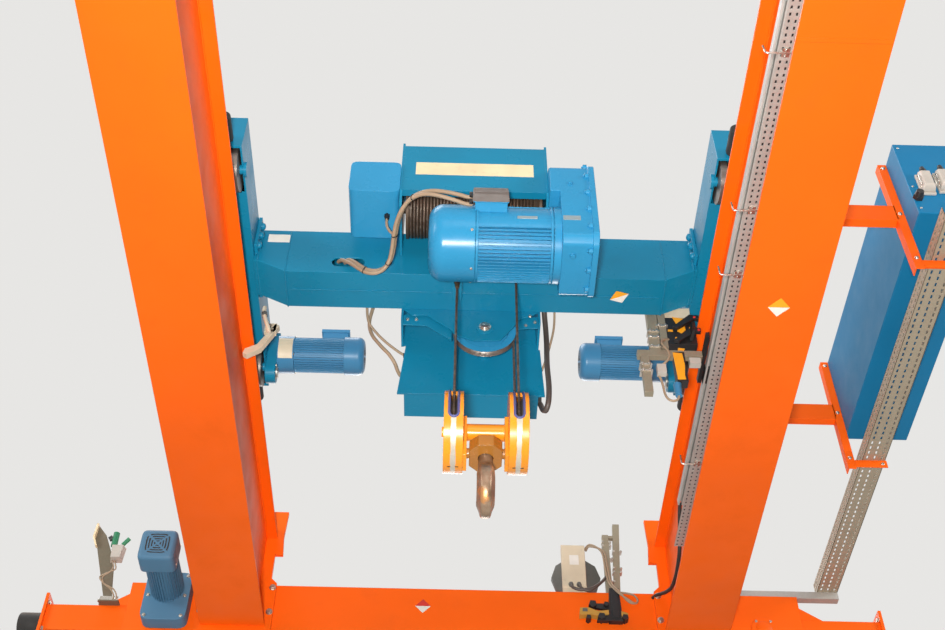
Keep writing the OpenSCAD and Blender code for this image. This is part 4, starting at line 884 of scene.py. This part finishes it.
def loom():
    """The loose cables of the crab and of the bridge."""
    left = lead("electric_box_cable", "crab", "cable",
                [(-430, 3294, 840), (-432, 3330, 838), (-446, 3390, 800), (-462, 3420, 716), (-446, 3424, 640),
                 (-404, 3428, 575),
                 (-366, 3434, 530), (-340, 3456, 500), (-326, 3490, 484), (-312, 3512, 476), (-293, 3516, 474)], 8.0)
    second = lead("electric_box_cable_two", "crab", "cable",
                  [(-470, 3294, 820), (-471, 3330, 812), (-474, 3380, 760), (-462, 3410, 700), (-424, 3440, 662),
                   (-384, 3470, 640),
                   (-340, 3500, 624), (-312, 3516, 616), (-293, 3520, 614)], 6.0)
    right = lead("collector_cable", "crab", "dark_plastic",
                 [(306, 3294, 826), (308, 3330, 818), (312, 3390, 770), (318, 3424, 700), (320, 3436, 618),
                  (318, 3440, 493),
                  (322, 3444, 373), (318, 3452, 290), (308, 3478, 262), (298, 3500, 282), (290, 3520, 330),
                  (278, 3520, 356)], 12.0)
    thin = lead("collector_cable_two", "crab", "cable",
                [(352, 3294, 826), (353, 3330, 818), (356, 3380, 760), (352, 3410, 690), (336, 3440, 620),
                 (318, 3470, 560),
                 (300, 3500, 520), (288, 3516, 510), (278, 3520, 508)], 5.0)
    glands = Piece("loom_glands", "crab", "dark_plastic", BLACK)
    for path, radius in ((left, 14), (second, 12), (right, 19), (thin, 10)):
        glands.bar(path[0], path[0] + Y * 16, radius, sides=6)
        inward = (path[-1] - path[-2]).normalized()
        glands.bar(path[-1] - X * (16 if inward.x > 0 else -16), path[-1], radius, sides=6)
    glands.make(bevel=1.0)
    lead("rail_feed_cable", "bridge", "rubber",
         [(993, 4250, 417), (992, 4290, 380), (988, 4330, 290), (985, 4370, 225), (984, 4450, 196), (983, 4540, 192),
          (980, 4640, 214), (974, 4740, 262), (962, 4810, 300), (944, 4850, 318), (926, 4890, 322), (920, 4925, 320)],
          9.0)
    y = low("tray_channel").y
    for k, shift in (("one", 0), ("two", 12)):
        lead("supply_cable_" + k, "bridge", "cable",
             [(612 + shift, y + 75, 666), (640, y + 20, 664 - shift), (692 + shift, y - 8, 600),
              (704 + shift, y - 12, 500),
              (716 + shift, y - 20, 400), (748 + shift, y - 50, 326), (800, y - 50, 280 - shift), (834, y - 44, 262),
              (850, y - 30, 290), (830, y - 20, 330), (766, y - 16, 345)], 5.0)
    for k, shift in (("one", 0), ("two", 40)):
        lead("junction_cable_" + k, "bridge", "dark_plastic",
             [(528 + shift, y - 4, 398), (530 + shift, y - 14, 384), (536 + shift, y - 20, 366),
              (572 + shift / 2, y - 22, 352),
              (630, y - 22, 364 - shift / 4), (684, y - 14, 410), (704, y - 8, 440)], 7.5)


def girder_details():
    for side, node in ((-1, "left_girder"), (1, "right_girder")):
        beads = Piece(node + "_welds", "bridge", "orange")
        lo, hi = low(node), high(node)
        inner, outer = flange_in + 53, flange_out - 53
        for x in (inner, outer):
            for z in (lo.z + 11, hi.z - 11):
                weld(beads, (side * x, lo.y + 20, z), (side * x, hi.y - 20, z), size=4.0, step=30.0)
        beads.make(smooth=80)
    seam = Piece("flange_butt_weld", "bridge", "orange")
    seam.box((flange_in + 1, 1584, girder_low - 1.2), (flange_out - 1, 1600, girder_low))
    seam.make(bevel=0.5)
    rail_welds = Piece("rail_stitch_welds", "bridge", "orange")
    rail_lo, rail_hi = low("crab_rails"), high("crab_rails")
    for x in (995, 1045):
        for side in (-1, 1):
            y = rail_lo.y + 100
            while y < rail_hi.y - 150:
                weld(rail_welds, (side * x, y, girder_top + 2), (side * x, y + 90, girder_top + 2), size=4.0)
                y += 400
    rail_welds.make(smooth=80)


def diamond(name, body, centre, across, up, half, materials):
    """A blank two-tone diamond sticker, split along its level diagonal."""
    centre, across, up = Vector(centre), Vector(across), Vector(up)
    sticker = Piece(name, body, "grey_plastic", materials[0])
    a, b = across * half[0], up * half[1]
    out = across.cross(up).normalized() * 0.4
    sticker.loft([[centre - a, centre + a, centre + b], [centre - a + out, centre + a + out, centre + b + out]])
    sticker.use(materials[1])
    sticker.loft([[centre - a, centre - b, centre + a], [centre - a + out, centre - b + out, centre + a + out]])
    sticker.make(smooth=30)


def carriage_details():
    bolts = Piece("girder_joint_bolts", "bridge", "galvanised", BOLT)
    end = 4855.0
    wheel_z = 157.5
    for side in (-1, 1):
        for x in (flange_in - 12, flange_out + 12):
            for z in (176, 318):
                bolts.bolt((side * x, end, z), -Y, size=17)
                bolts.bolt((side * x, -end, z), Y, size=17)
    bolts.make(bevel=0.8)
    covers = Piece("wheel_covers", "bridge", "orange")
    cover_bolts = Piece("wheel_cover_bolts", "bridge", "galvanised", BOLT)
    reach = high("far_end_carriage").y
    inner = low("far_end_carriage").y
    wheel = high("runway_wheels").x - 178
    for x in (-wheel, wheel):
        for y, axis in ((inner, -Y), (reach, Y), (-inner, Y), (-reach, -Y)):
            if not (x < 0 and abs(y) == inner):
                covers.bar((x, y, wheel_z), Vector((x, y, wheel_z)) + axis * 5, 62, sides=48)
                covers.bar(Vector((x, y, wheel_z)) + axis * 5, Vector((x, y, wheel_z)) + axis * 9, 40, 34, sides=48)
                for k in range(4):
                    a = math.radians(45 + 90 * k)
                    cover_bolts.bolt(Vector((x + 50 * math.cos(a), y, wheel_z + 50 * math.sin(a))) + axis * 5,
                                     axis, size=8, washer=False)
    covers.make(bevel=1.5)
    cover_bolts.make(bevel=0.4)
    diamond("far_carriage_diamond", "bridge", (-208, inner - 0.1, 243), X, Z, (38, 40), (RED, WHITE))
    diamond("right_girder_diamond", "bridge", (1121, 2719, girder_low - 0.1), X, -Y, (42, 46), (YELLOW, WHITE))


def end_gussets():
    """Slanted closing plates at the ends of the carriage bodies and buffer plate bolts."""
    plates = Piece("carriage_end_gussets", "bridge", "orange")
    bolts = Piece("buffer_plate_bolts", "bridge", "galvanised", BOLT)
    for side in (-1, 1):
        for end in (-1, 1):
            for y in (4925, 5069):
                plates.prism([(0, 0), (120, 0), (0, 80)], (side * 1650, end * y, 238), (side, 0, 0), Z, 6 * side)
            for y in (4922, 5078):
                for z in (102, 250):
                    bolts.bolt((side * 2050, end * y, z), (-side, 0, 0), size=12)
    plates.make(bevel=0.8)
    bolts.make(bevel=0.5)


# ---------------------------------------------------------------- crab
def crossbeam_details():
    fittings = Piece("crossbeam_seams", "crab", "crab_blue")
    y = (beam_low.y + beam_high.y) / 2
    bend = high("crossbeam").x - 15 - 127
    fittings.box((-bend + 15, y - 3, beam_low.z - 2.5), (bend - 15, y + 3, beam_low.z + 1))
    front, back = beam_low.y + 50, beam_high.y - 50
    for side in (-1, 1):
        x, z = side * bend, beam_low.z
        weld(fittings, (x, front, z), (x, back, z), size=3.5)
        weld(fittings, (x, front, z), (x, front, beam_high.z - 40), size=2.5)
        weld(fittings, (side * (bend + 127), front, beam_low.z + 70), (side * (bend + 127), front, 930), size=4.5)
        weld(fittings, (side * (bend + 127), front, beam_low.z + 70), (side * (bend + 127), back, beam_low.z + 70),
             size=4.5)
    fittings.make(smooth=70)
    bolts = Piece("crossbeam_bolts", "crab", "crab_blue")
    for side in (-1, 1):
        for z in (800, 868, 928):
            for yy in (beam_low.y + 22, beam_high.y - 22):
                bolts.bar((side * 933, yy, z), (side * 929, yy, z), 19, sides=32)
                bolts.lathe([(0, 16), (4, 16), (9, 13), (12, 7), (13, 2)], (side * 929, yy, z), (-side, 0, 0), sides=28)
    bolts.make()
    label = Piece("crossbeam_label", "crab", "grey_plastic", WHITE)
    label.box((-902, front - 0.5, 858), (-804, front + 0.1, 910))
    label.make()
    diamond("crossbeam_diamond", "crab", (617, 3190, beam_low.z - 2.9), (0.9, -0.42, 0), (-0.42, -0.9, 0), (43, 37),
            (YELLOW, WHITE))


def crab_frame_details():
    caps = Piece("axle_cap_bolts", "crab", "crab_blue")
    for side in (-1, 1):
        y, z = 2640, 762.3
        for yy in (y, 3760):
            for k in range(3):
                a = math.radians(30 + 120 * k)
                caps.bolt((side * 1104, yy + 21 * math.cos(a), z + 21 * math.sin(a)), (side, 0, 0), size=5,
                          washer=False)
    caps.make(bevel=0.5)


# ---------------------------------------------------------------- hoist
def hoist_details():
    strip = Piece("cover_strip", "crab", "grey_plastic", STRIP)
    front = low("hoist_cover").y
    strip.box((-265, front - 0.6, 958), (235, front + 0.1, 1044))
    strip.make()
    gear_lo, gear_hi = low("hoist_gearbox"), high("hoist_gearbox")
    flange = gear_hi.x - 25
    bolts = Piece("gearbox_bolts", "crab", "hoist_blue")
    for y, z in ((gear_lo.y + 8, gear_lo.z + 90), (gear_lo.y + 8, gear_lo.z + 200), (gear_lo.y + 8, gear_lo.z + 310),
                 (gear_lo.y + 8, gear_lo.z + 420), (gear_lo.y + 34, gear_lo.z + 516),
                 (gear_lo.y + 112, gear_lo.z + 566),
                 (gear_lo.y + 220, gear_hi.z - 9), (gear_lo.y + 70, gear_lo.z + 9), (gear_lo.y + 170, gear_lo.z + 9),
                 (gear_lo.y + 270, gear_lo.z + 9)):
        bolts.bar((flange - 16, y, z), (flange, y, z), 13, sides=24)
        bolts.bolt((flange - 16, y, z), (-1, 0, 0), size=8)
    bolts.bolt((378, gear_lo.y + 96, gear_lo.z + 10), -Z, size=14)
    bolts.bolt((378, gear_lo.y + 10, gear_lo.z + 372), -Y, size=11)
    bolts.make(bevel=0.5)
    motor = middle("motor_fan_cover")
    plates = Piece("rating_plates", "crab", "galvanised", PLATE)
    plates.box((340, gear_lo.y + 9.2, 584), (410, gear_lo.y + 10.1, 612))
    plates.box((157, motor.y - 151.8, motor.z - 18), (238, motor.y - 148, motor.z - 2))
    plates.make()
    cover = Piece("fan_cover_screws", "crab", "galvanised", BOLT)
    hood = high("motor_fan_cover").x
    for k in range(6):
        a = math.radians(30 + 60 * k)
        away = Vector((0, math.cos(a), math.sin(a)))
        cover.bolt(Vector((hood - 14, motor.y, motor.z)) + away * 157.5, away, size=6)
    cover.make(bevel=0.3)
    # Dark arcs on the fan cover: painted shade of its ventilation slots, which are not cut.
    slots = Piece("motor_fan_slot_shade", "crab", "dark_plastic", BLACK)
    slot_shade(slots, (low("motor_fan_cover").x, motor.y, motor.z), -X, (22, 36, 50, 64, 78, 92), 7)
    slots.make()
    seam = Piece("motor_end_rings", "crab", "hoist_blue")
    for x, r in ((hood + 2, 157.0), (292, 157.6)):
        seam.lathe([(0, r), (10, r), (10, r - 14), (0, r - 14)], (x, motor.y, motor.z), X, sides=72)
    seam.make(bevel=1.5)
    switch_lo = low("hoist_switch_box")
    lid = Piece("switch_box_fittings", "crab", "dark_plastic", BLACK)
    lid.bar((-380, 2900, switch_lo.z), (-380, 2900, switch_lo.z - 14), 13, sides=6)
    lid.bar((-380, 2900, switch_lo.z - 14), (-380, 2900, switch_lo.z - 30), 11, 8, sides=20)
    lid.use(LOOKS["cable"])
    lid.tube(curve([(-380, 2900, switch_lo.z - 10), (-379, 2902, switch_lo.z - 60), (-366, 2906, switch_lo.z - 96),
                    (-348, 2906, switch_lo.z - 118)]), 5.5, sides=12)
    lid.make(bevel=0.8)
    pin = Piece("sheave_pin_head", "crab", "galvanised", BRIGHT)
    face = low("sheave_hangers").y
    pin.bar((upper.x, face, upper.z), (upper.x, face - 4, upper.z), 26, sides=36)
    pin.lathe([(0, 19), (8, 19), (11, 15)], (upper.x, face - 4, upper.z), -Y, sides=36)
    for x, z in ((-290, 690), (-230, 690), (262, 690), (240, 640)):
        pin.bolt((x, face + 6, z), -Y, size=8)
    for x, z in ((-288, 620), (-250, 620), (262, 620), (222, 600)):
        pin.bolt((x, low("rope_guards").y, z), -Y, size=8)
    pin.make(bevel=0.6)


def terminal_box():
    """Ribbed lid and cast neck of the hoist motor's terminal box, which is turned up by 25 degrees."""
    motor = middle("hoist_motor")
    motor_y, motor_z = high("motor_fan_cover").y - 158, motor.z
    turn = math.radians(25)
    out, up = Vector((0, -math.cos(turn), math.sin(turn))), Vector((0, math.sin(turn), math.cos(turn)))
    centre = Vector((0, motor_y, motor_z))
    near, far = 186, 225
    lo, hi = low("motor_terminal_box").x, high("motor_terminal_box").x

    def block(piece, x0, x1, r0, r1, half0, half1=None):
        half1 = half0 if half1 is None else half1
        ring = lambda r, h, shrink=0: [centre + X * x + out * r + up * u for x, u in
                                       ((x0 + shrink, -h), (x1 - shrink, -h), (x1 - shrink, h), (x0 + shrink, h))]
        return piece.loft([ring(r0, half0), ring(r1, half1, (half0 - half1))])

    lid = Piece("terminal_box_lid", "crab", "dark_plastic")
    block(lid, lo, hi, near, far - 8, 45, 42)
    for i in range(8):
        u = -37 + i * 74 / 7
        ring = lambda r: [centre + X * x + out * r + up * v for x, v in
                          ((lo + 5, u - 3.2), (hi - 5, u - 3.2), (hi - 5, u + 3.2), (lo + 5, u + 3.2))]
        lid.loft([ring(far - 9), ring(far)])
    lid.use(BOLT)
    for x in (lo + 14, hi - 14):
        for u in (-34, 34):
            lid.bolt(centre + X * x + out * (far - 5) + up * u, out, size=5)
    lid.use(LOOKS["hoist_blue"])
    block(lid, lo + 12, hi - 8, 100.3, near, 41)
    block(lid, lo + 4, hi - 3, near - 4, near, 44.5)
    lid.use(BLACK)
    for u, r in ((-10, 205), (-30, 182)):
        place = centre + X * lo + out * r + up * u
        lid.bar(place, place - X * 12, 13, sides=6)
    piece = lid.make(bevel=1.2)
    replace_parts(piece, "motor_terminal_box")


# ---------------------------------------------------------------- hook block and ropes
def guard_edging():
    """Plastic edging round the rope slots of the sheave guards."""
    guard_r, slot, bottom = 158.0, 18.0, block_z - 54 + 18
    edging = Piece("rope_slot_edging", "hook_block", "grey_plastic", EDGING)
    for x in fall_x:
        for side in (-1, 1):
            outline = [(slot, 150.0), (slot, 100.0), (slot, 50.0), (slot, 0.0)]
            outline += [(slot * math.cos(a), -slot * math.sin(a)) for a in
                        (math.pi * k / 12 for k in range(1, 12))]
            outline += [(-slot, 0.0), (-slot, 50.0), (-slot, 100.0), (-slot, 150.0)]
            path = []
            for across, rise in outline:
                z = bottom + rise - block_z
                reach = math.sqrt(max(guard_r ** 2 - z ** 2, 60.0 ** 2))
                path.append((x + across, block_y + side * (reach - 1.0), block_z + min(z, 146.0)))
            edging.tube(path, 5.6, sides=8)
    edging.make(smooth=70)


def block_fittings():
    fittings = Piece("block_fittings", "hook_block", "galvanised", BOLT)
    for side in (-1, 1):
        face = hook_x + side * 86
        for z, y, size in ((crosshead.z - 38, -30, 6), (crosshead.z - 38, 30, 6), (crosshead.z + 34, -30, 6),
                           (crosshead.z + 34, 30, 6)):
            fittings.bolt((face, block_y + y, z), (side, 0, 0), size=size)
    fittings.make(bevel=0.6)
    # Small dark patches at the bottom of each guard: painted shade of two small slots, which are not cut.
    slot_shade_patches = Piece("guard_slot_shade", "hook_block", "rubber")
    for x in fall_x:
        for dx in (-15, 15):
            a = math.radians(-83)
            away, along = Vector((0, math.cos(a), math.sin(a))), Vector((0, -math.sin(a), math.cos(a)))
            centre = Vector((x + dx, block_y, block_z)) + away * 158.5
            slot_shade_patches.prism([(-6, -2.6), (6, -2.6), (6, 2.6), (-6, 2.6)], centre, X, along, 2.0)
    slot_shade_patches.make()
    # A light band down the middle of each guard under each rope: partly rubbed paint and partly a painted highlight
    # where the crowned guard catches the light.
    worn_highlight_band = Piece("worn_and_highlight_tracks", "hook_block", "block_yellow", WORN_AND_HIGHLIGHT)
    for x in fall_x:
        rings = []
        for k in range(49):
            a = math.radians(-18 - 144 * k / 48)
            away = Vector((0, math.cos(a), math.sin(a)))
            centre = Vector((x, block_y, block_z)) + away * 158.2
            half = 10 + 2.5 * noise.noise(Vector((k * 0.35, x * 0.01, 0)))
            rings.append([centre - X * half - away, centre + X * half - away, centre + X * (half - 0.5) + away * 0.1,
                          centre - X * (half - 0.5) + away * 0.1])
        worn_highlight_band.loft(rings)
    worn_highlight_band.make(smooth=50)


def rope_end():
    """Wedge socket and pin that hold the rope's end under the hoist."""
    lo, hi = low("rope_anchor"), high("rope_anchor")
    x, y = fall_x[0], near_y
    end = Piece("rope_end_fitting", "crab", "brass", LOOKS["crab_blue"])
    end.box((x - 20, y + 22, lo.z + 50), (x + 20, hi.y, hi.z))
    for side in (-1, 1):
        end.box((x + side * 17 - 3, y - 16, lo.z + 40), (x + side * 17 + 3, y + 24, hi.z - 10))
    end.use(LOOKS["brass"])
    end.lathe([(0, 7), (8, 9), (50, 13), (62, 13), (68, 8)], (x, y, lo.z + 4), Z, sides=24)
    end.use(BRIGHT)
    end.bar((x - 25, y, lo.z + 58), (x + 25, y, lo.z + 58), 7, sides=20)
    end.bolt((x + 25, y, lo.z + 58), X, size=8)
    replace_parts(end.make(bevel=1.0), "rope_anchor")


def rope_path(x, y, z0, z1, steps):
    return [(x, y, z0 + (z1 - z0) * i / steps) for i in range(steps + 1)]


ROPE = {"sides": 18, "lobes": 6, "depth": 0.30, "lay": 70.0}


def ropes():
    """Four falls, and the turns round the sheaves and the drum."""
    falls = Piece("rope_fall_meshes", None, "rope")
    steps = 110
    for x, y, top in ((fall_x[0], near_y, upper.z + 30), (fall_x[1], near_y, drum.z),
                      (fall_x[0], far_y, upper.z), (fall_x[1], far_y, upper.z)):
        falls.tube(rope_path(x, y, block_z, top, steps), ROPE_R, **ROPE)
    piece = falls.make(smooth=60)
    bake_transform(piece)
    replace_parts(piece, "rope_falls", "rope_lead")
    under = Piece("block_sheave_rope", "hook_block", "rope")
    for x in fall_x:
        under.tube(arc((x, block_y, block_z), SHEAVE_R, Y, Z, 180, 360, 60), ROPE_R, **ROPE)
    under.make(smooth=60)
    over = Piece("upper_sheave_rope", "crab", "rope")
    over.tube(arc(upper, SHEAVE_R, X, Z, 0, 180, 60), ROPE_R, **ROPE)
    over.make(smooth=60)
    turns = Piece("drum_rope", "rope_drum", "rope")
    pitch = 14.0
    x = fall_x[1]
    while x > low("rope_drum").x + 50:
        turns.tube(arc((x, drum.y, drum.z), DRUM_R, Y, Z, 0, 360, 48)[:-1], ROPE_R, sides=8, closed=True)
        x -= pitch
    turns.make(smooth=60)


HOOK_BED_R = 38.0
HOOK_T = 70.0


def hook_section(width, depth, outer):
    """Section of the hook: wide and round at the bed, a narrow back outside."""
    corners = [(0.30, -0.50), (0.43, -0.44), (0.50, -0.30), (0.475, -0.10), (outer + 0.07, 0.10), (outer + 0.02, 0.30),
               (outer * 0.95, 0.42), (outer * 0.62, 0.50)]
    half = corners + [(-a, b) for a, b in reversed(corners)]
    return [(a * width, b * depth) for a, b in half]


def hook_depth(a):
    return 56 + 25 * (a - 130) / 140 if a < 270 else 81 - 50 * ((a - 270) / 110) ** 1.2


def hook_mesh():
    """The forged hook: shank, collar and bowl in one smooth skin, with its nut above."""
    centre = Vector((hook_x, block_y, crosshead.z - 173.0))
    hook = Piece("hook_forging", "hook", "hook_steel")
    shank_r = 28.0
    bowl = []
    for a in (*range(130, 380, 6), 380):
        depth = hook_depth(a)
        outer = 0.38 - 0.09 * min(1.0, max(0.0, (a - 150) / 60))
        width = HOOK_T * (1.0 if a < 330 else 1.0 - 0.45 * ((a - 330) / 50) ** 1.5)
        angle = math.radians(a)
        away = Vector((0, math.cos(angle), math.sin(angle)))
        middle_point = centre + away * (HOOK_BED_R + depth / 2)
        bowl.append([middle_point + X * u + away * v for u, v in hook_section(width, depth, outer)])
    count = len(bowl[0])
    top = crosshead.z - 26

    def round_ring(z, r, shift=0.0):
        points = hook_section(2.0, 2.0, 0.30)
        ring = []
        for u, v in points:
            angle = math.atan2(-v, u)
            ring.append(Vector((centre.x + r * math.cos(angle), centre.y + shift + r * math.sin(angle), z)))
        return ring

    neck = [round_ring(crosshead.z + 58, shank_r), round_ring(top, shank_r), round_ring(top - 12, shank_r + 1),
            round_ring(centre.z + 100, shank_r + 2, -3)]
    tip = bowl[-1]
    tip_centre = sum(tip, Vector()) / count
    last_away = Vector((0, -math.sin(math.radians(380)), math.cos(math.radians(380))))
    nose = [[tip_centre + (p - tip_centre) * f + last_away * d for p in tip] for f,
            d in ((0.86, 8), (0.55, 15), (0.2, 18))]
    hook.loft(neck + bowl + nose)
    hook.bar((hook_x, block_y, crosshead.z + 25.5), (hook_x, block_y, crosshead.z + 55.5), 45, sides=6)
    piece = hook.make(smooth=50)
    rounder = piece.modifiers.new("smooth", "SUBSURF")
    rounder.levels = rounder.render_levels = 1
    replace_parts(piece, "hook")


# ---------------------------------------------------------------- cables
CABLE_D = 17.0
FRONT_ROUTE = [(-560, 3105, 745), (-545, 3080, 735), (-520, 3063, 706), (-488, 3054, 668), (-452, 3050, 638),
               (-415, 3046, 630), (-380, 3034, 640), (-356, 3004, 662), (-345, 2960, 684), (-338, 2905, 700),
               (-328, 2850, 716), (-308, 2796, 730), (-276, 2750, 742), (-232, 2718, 742), (-184, 2698, 730),
               (-130, 2692, 716), (-78, 2692, 700), (-44, 2694, 689), (-25, 2694, 689)]
BACK_ROUTE = [(-588, 3105, 750), (-568, 3078, 730), (-527, 3057, 684), (-495, 3048, 646), (-459, 3044, 616),
              (-422, 3040, 608), (-387, 3028, 618), (-363, 2998, 640), (-352, 2954, 662), (-345, 2899, 678),
              (-335, 2844, 694), (-315, 2790, 708), (-283, 2744, 720), (-239, 2712, 718), (-191, 2698, 706),
              (-137, 2700, 692), (-85, 2704, 674), (-48, 2708, 661), (-25, 2708, 661)]


def motor_cables():
    lead("motor_cable_one", "crab", "cable", FRONT_ROUTE, CABLE_D / 2, "motor_cable_front")
    lead("motor_cable_two", "crab", "cable", BACK_ROUTE, CABLE_D / 2, "motor_cable_back")
    ties = Piece("cable_ties", "crab", "rubber")
    front, back = curve(FRONT_ROUTE), curve(BACK_ROUTE)
    for i in (22, 40, 54, 74):
        centre = (front[i] + back[i]) / 2
        along = (front[i + 1] - front[i]).normalized()
        across = (front[i] - back[i]).normalized()
        other = along.cross(across).normalized()
        half = (front[i] - back[i]).length / 2 + CABLE_D / 2
        loop = []
        for k in range(24):
            a = 2 * math.pi * k / 24
            loop.append(centre + across * (half + 1.5) * math.cos(a) + other * (CABLE_D / 2 + 1.8) * math.sin(a))
        ties.tube(loop, 2.4, sides=6, closed=True)
    ties.make(smooth=60)


# ---------------------------------------------------------------- camera, light and stage
def aim(thing, place, forward, up):
    forward, up = Vector(forward).normalized(), Vector(up)
    side = forward.cross(up).normalized()
    up = side.cross(forward)
    thing.matrix_world = Matrix.Translation(place) @ Matrix((side, up, -forward)).transposed().to_4x4()


def photo_camera():
    """The photograph's camera, solved from the girders' edges."""
    data = bpy.data.cameras.new("photo_camera")
    data.lens, data.sensor_width = 49.525, 36.0
    data.clip_start, data.clip_end = 0.05, 200.0
    camera = bpy.data.objects.new("photo_camera", data)
    bpy.context.scene.collection.objects.link(camera)
    aim(camera, Vector((-73, -495, -3500)) * MM, (0.01145, 0.67501, 0.73772), (-0.02449, -0.73736, 0.67506))
    bpy.context.scene.camera = camera


def area_light(name, place, target, size, power, colour=(1, 1, 1)):
    data = bpy.data.lights.new(name, "AREA")
    data.shape, data.size, data.energy, data.color = "DISK", size, power, colour
    lamp = bpy.data.objects.new(name, data)
    bpy.context.scene.collection.objects.link(lamp)
    away = Vector(target) - Vector(place)
    aim(lamp, Vector(place), away, Z if abs(away.normalized().z) < 0.95 else Y)
    return lamp


def seen_rays(tree):
    """1 for camera, glossy and transmission rays, so that metal and glass show the background that the camera sees."""
    path = tree.nodes.new("ShaderNodeLightPath")
    seen = path.outputs["Is Camera Ray"]
    for ray in ("Is Glossy Ray", "Is Transmission Ray"):
        either = tree.nodes.new("ShaderNodeMath")
        either.operation = "MAXIMUM"
        tree.links.new(seen, either.inputs[0])
        tree.links.new(path.outputs[ray], either.inputs[1])
        seen = either.outputs[0]
    return seen


def stage():
    world = bpy.data.worlds.new("studio")
    bpy.context.scene.world = world
    world.use_nodes = True
    tree = world.node_tree
    background = tree.nodes["Background"]
    strength = tree.nodes.new("ShaderNodeMapRange")
    strength.inputs["To Min"].default_value, strength.inputs["To Max"].default_value = 0.20, 0.80
    tree.links.new(seen_rays(tree), strength.inputs["Value"])
    tree.links.new(strength.outputs[0], background.inputs["Strength"])
    background.inputs["Color"].default_value = (1.0, 0.99, 0.97, 1.0)
    area_light("camera_side_light", (-0.3, -0.9, -3.9), (0.0, 0.6, 0.4), 0.5, 480.0, (1.0, 0.97, 0.92))
    area_light("overhead_light", (-3.0, 4.0, 9.0), (0.0, 0.0, 0.5), 6.0, 560.0)
    area_light("left_light", (-11.0, -2.0, 3.0), (0.0, 0.0, 0.3), 5.0, 700.0)
    area_light("right_light", (11.0, -2.0, 3.0), (0.0, 0.0, 0.3), 5.0, 700.0)
    area_light("front_light", (0.0, -13.0, 3.0), (0.0, 0.0, 0.3), 5.0, 240.0)
    area_light("back_light", (0.0, 13.0, 3.0), (0.0, 0.0, 0.3), 5.0, 380.0)
    floor = Piece("studio_floor", None, "grey_plastic")
    floor.materials = [floor_material()]
    floor.loft([[(-60000, 60000, -5130), (60000, 60000, -5130)], [(-60000, -60000, -5130), (60000, -60000, -5130)]],
               closed=False)
    ground = floor.make()
    ground.data.flip_normals()


def floor_material():
    """Pale matt floor that can be looked through from below."""
    s = Shader("pale_floor")
    s.set(base_color=(0.36, 0.36, 0.355), roughness=0.8)
    s.surface.inputs["Emission Color"].default_value = (1.0, 0.99, 0.97, 1.0)
    s.put(s.surface.inputs["Emission Strength"], s.math("MULTIPLY", seen_rays(s.tree), 0.52))
    clear = s.add("ShaderNodeBsdfTransparent")
    back = s.add("ShaderNodeNewGeometry").outputs["Backfacing"]
    either = s.add("ShaderNodeMixShader", {0: back, 1: s.surface.outputs[0], 2: clear.outputs[0]})
    s.tree.links.new(either.outputs[0], s.tree.nodes["Material Output"].inputs["Surface"])
    return s.material


photo_camera()
motor_cables()
loom()
girder_details()
conductor_fittings()
tray_fittings()
carriage_details()
end_gussets()
bracket_fittings()
cabinet_fittings()
supply_fittings()
photocell_fittings()
travel_drive_fittings()
crossbeam_details()
crab_frame_details()
crab_drive_fittings()
collector_fittings()
hoist_details()
terminal_box()
ropes()
rope_end()
guard_edging()
block_fittings()
hook_mesh()
for node, width in (("block_guards", 6.0), ("block_side_plates", 2.0), ("hoist_gearbox", 3.0),
                    ("hoist_switch_box", 7.0), ("crab_drive_gearboxes", 4.0),
                    ("control_cabinet", 4.0), ("crab_buffers", 8.0), ("end_buffers", 8.0), ("crossbeam", 2.0),
                    ("left_crab_frame", 2.0), ("right_crab_frame", 2.0)):
    soften(node, width, segments=3)
soften("crosshead", 3.0, segments=3, material=OCHRE)
soften("travel_gearboxes", 4.0, segments=3, material=DRIVE)
sheave = soften("upper_sheave", 1.0)
sheave.data.materials.append(LOOKS["hoist_blue"])
for face in sheave.data.polygons:
    if math.hypot(face.center.x / MM - upper.x, face.center.z / MM - upper.z) < 108:
        face.material_index = 1
hood_end = high("travel_gearboxes").y - 80 - 360


def hood_rim(edge):
    """The outer rim of a square fan cover."""
    return all(abs(abs(v.co.y) - hood_end * MM) < 0.0005 for v in edge.verts)


round_edges("travel_motors", hood_rim, 20.0, 5).data.materials[0] = DRIVE
stage()
bpy.context.scene.view_settings.view_transform = "Standard"
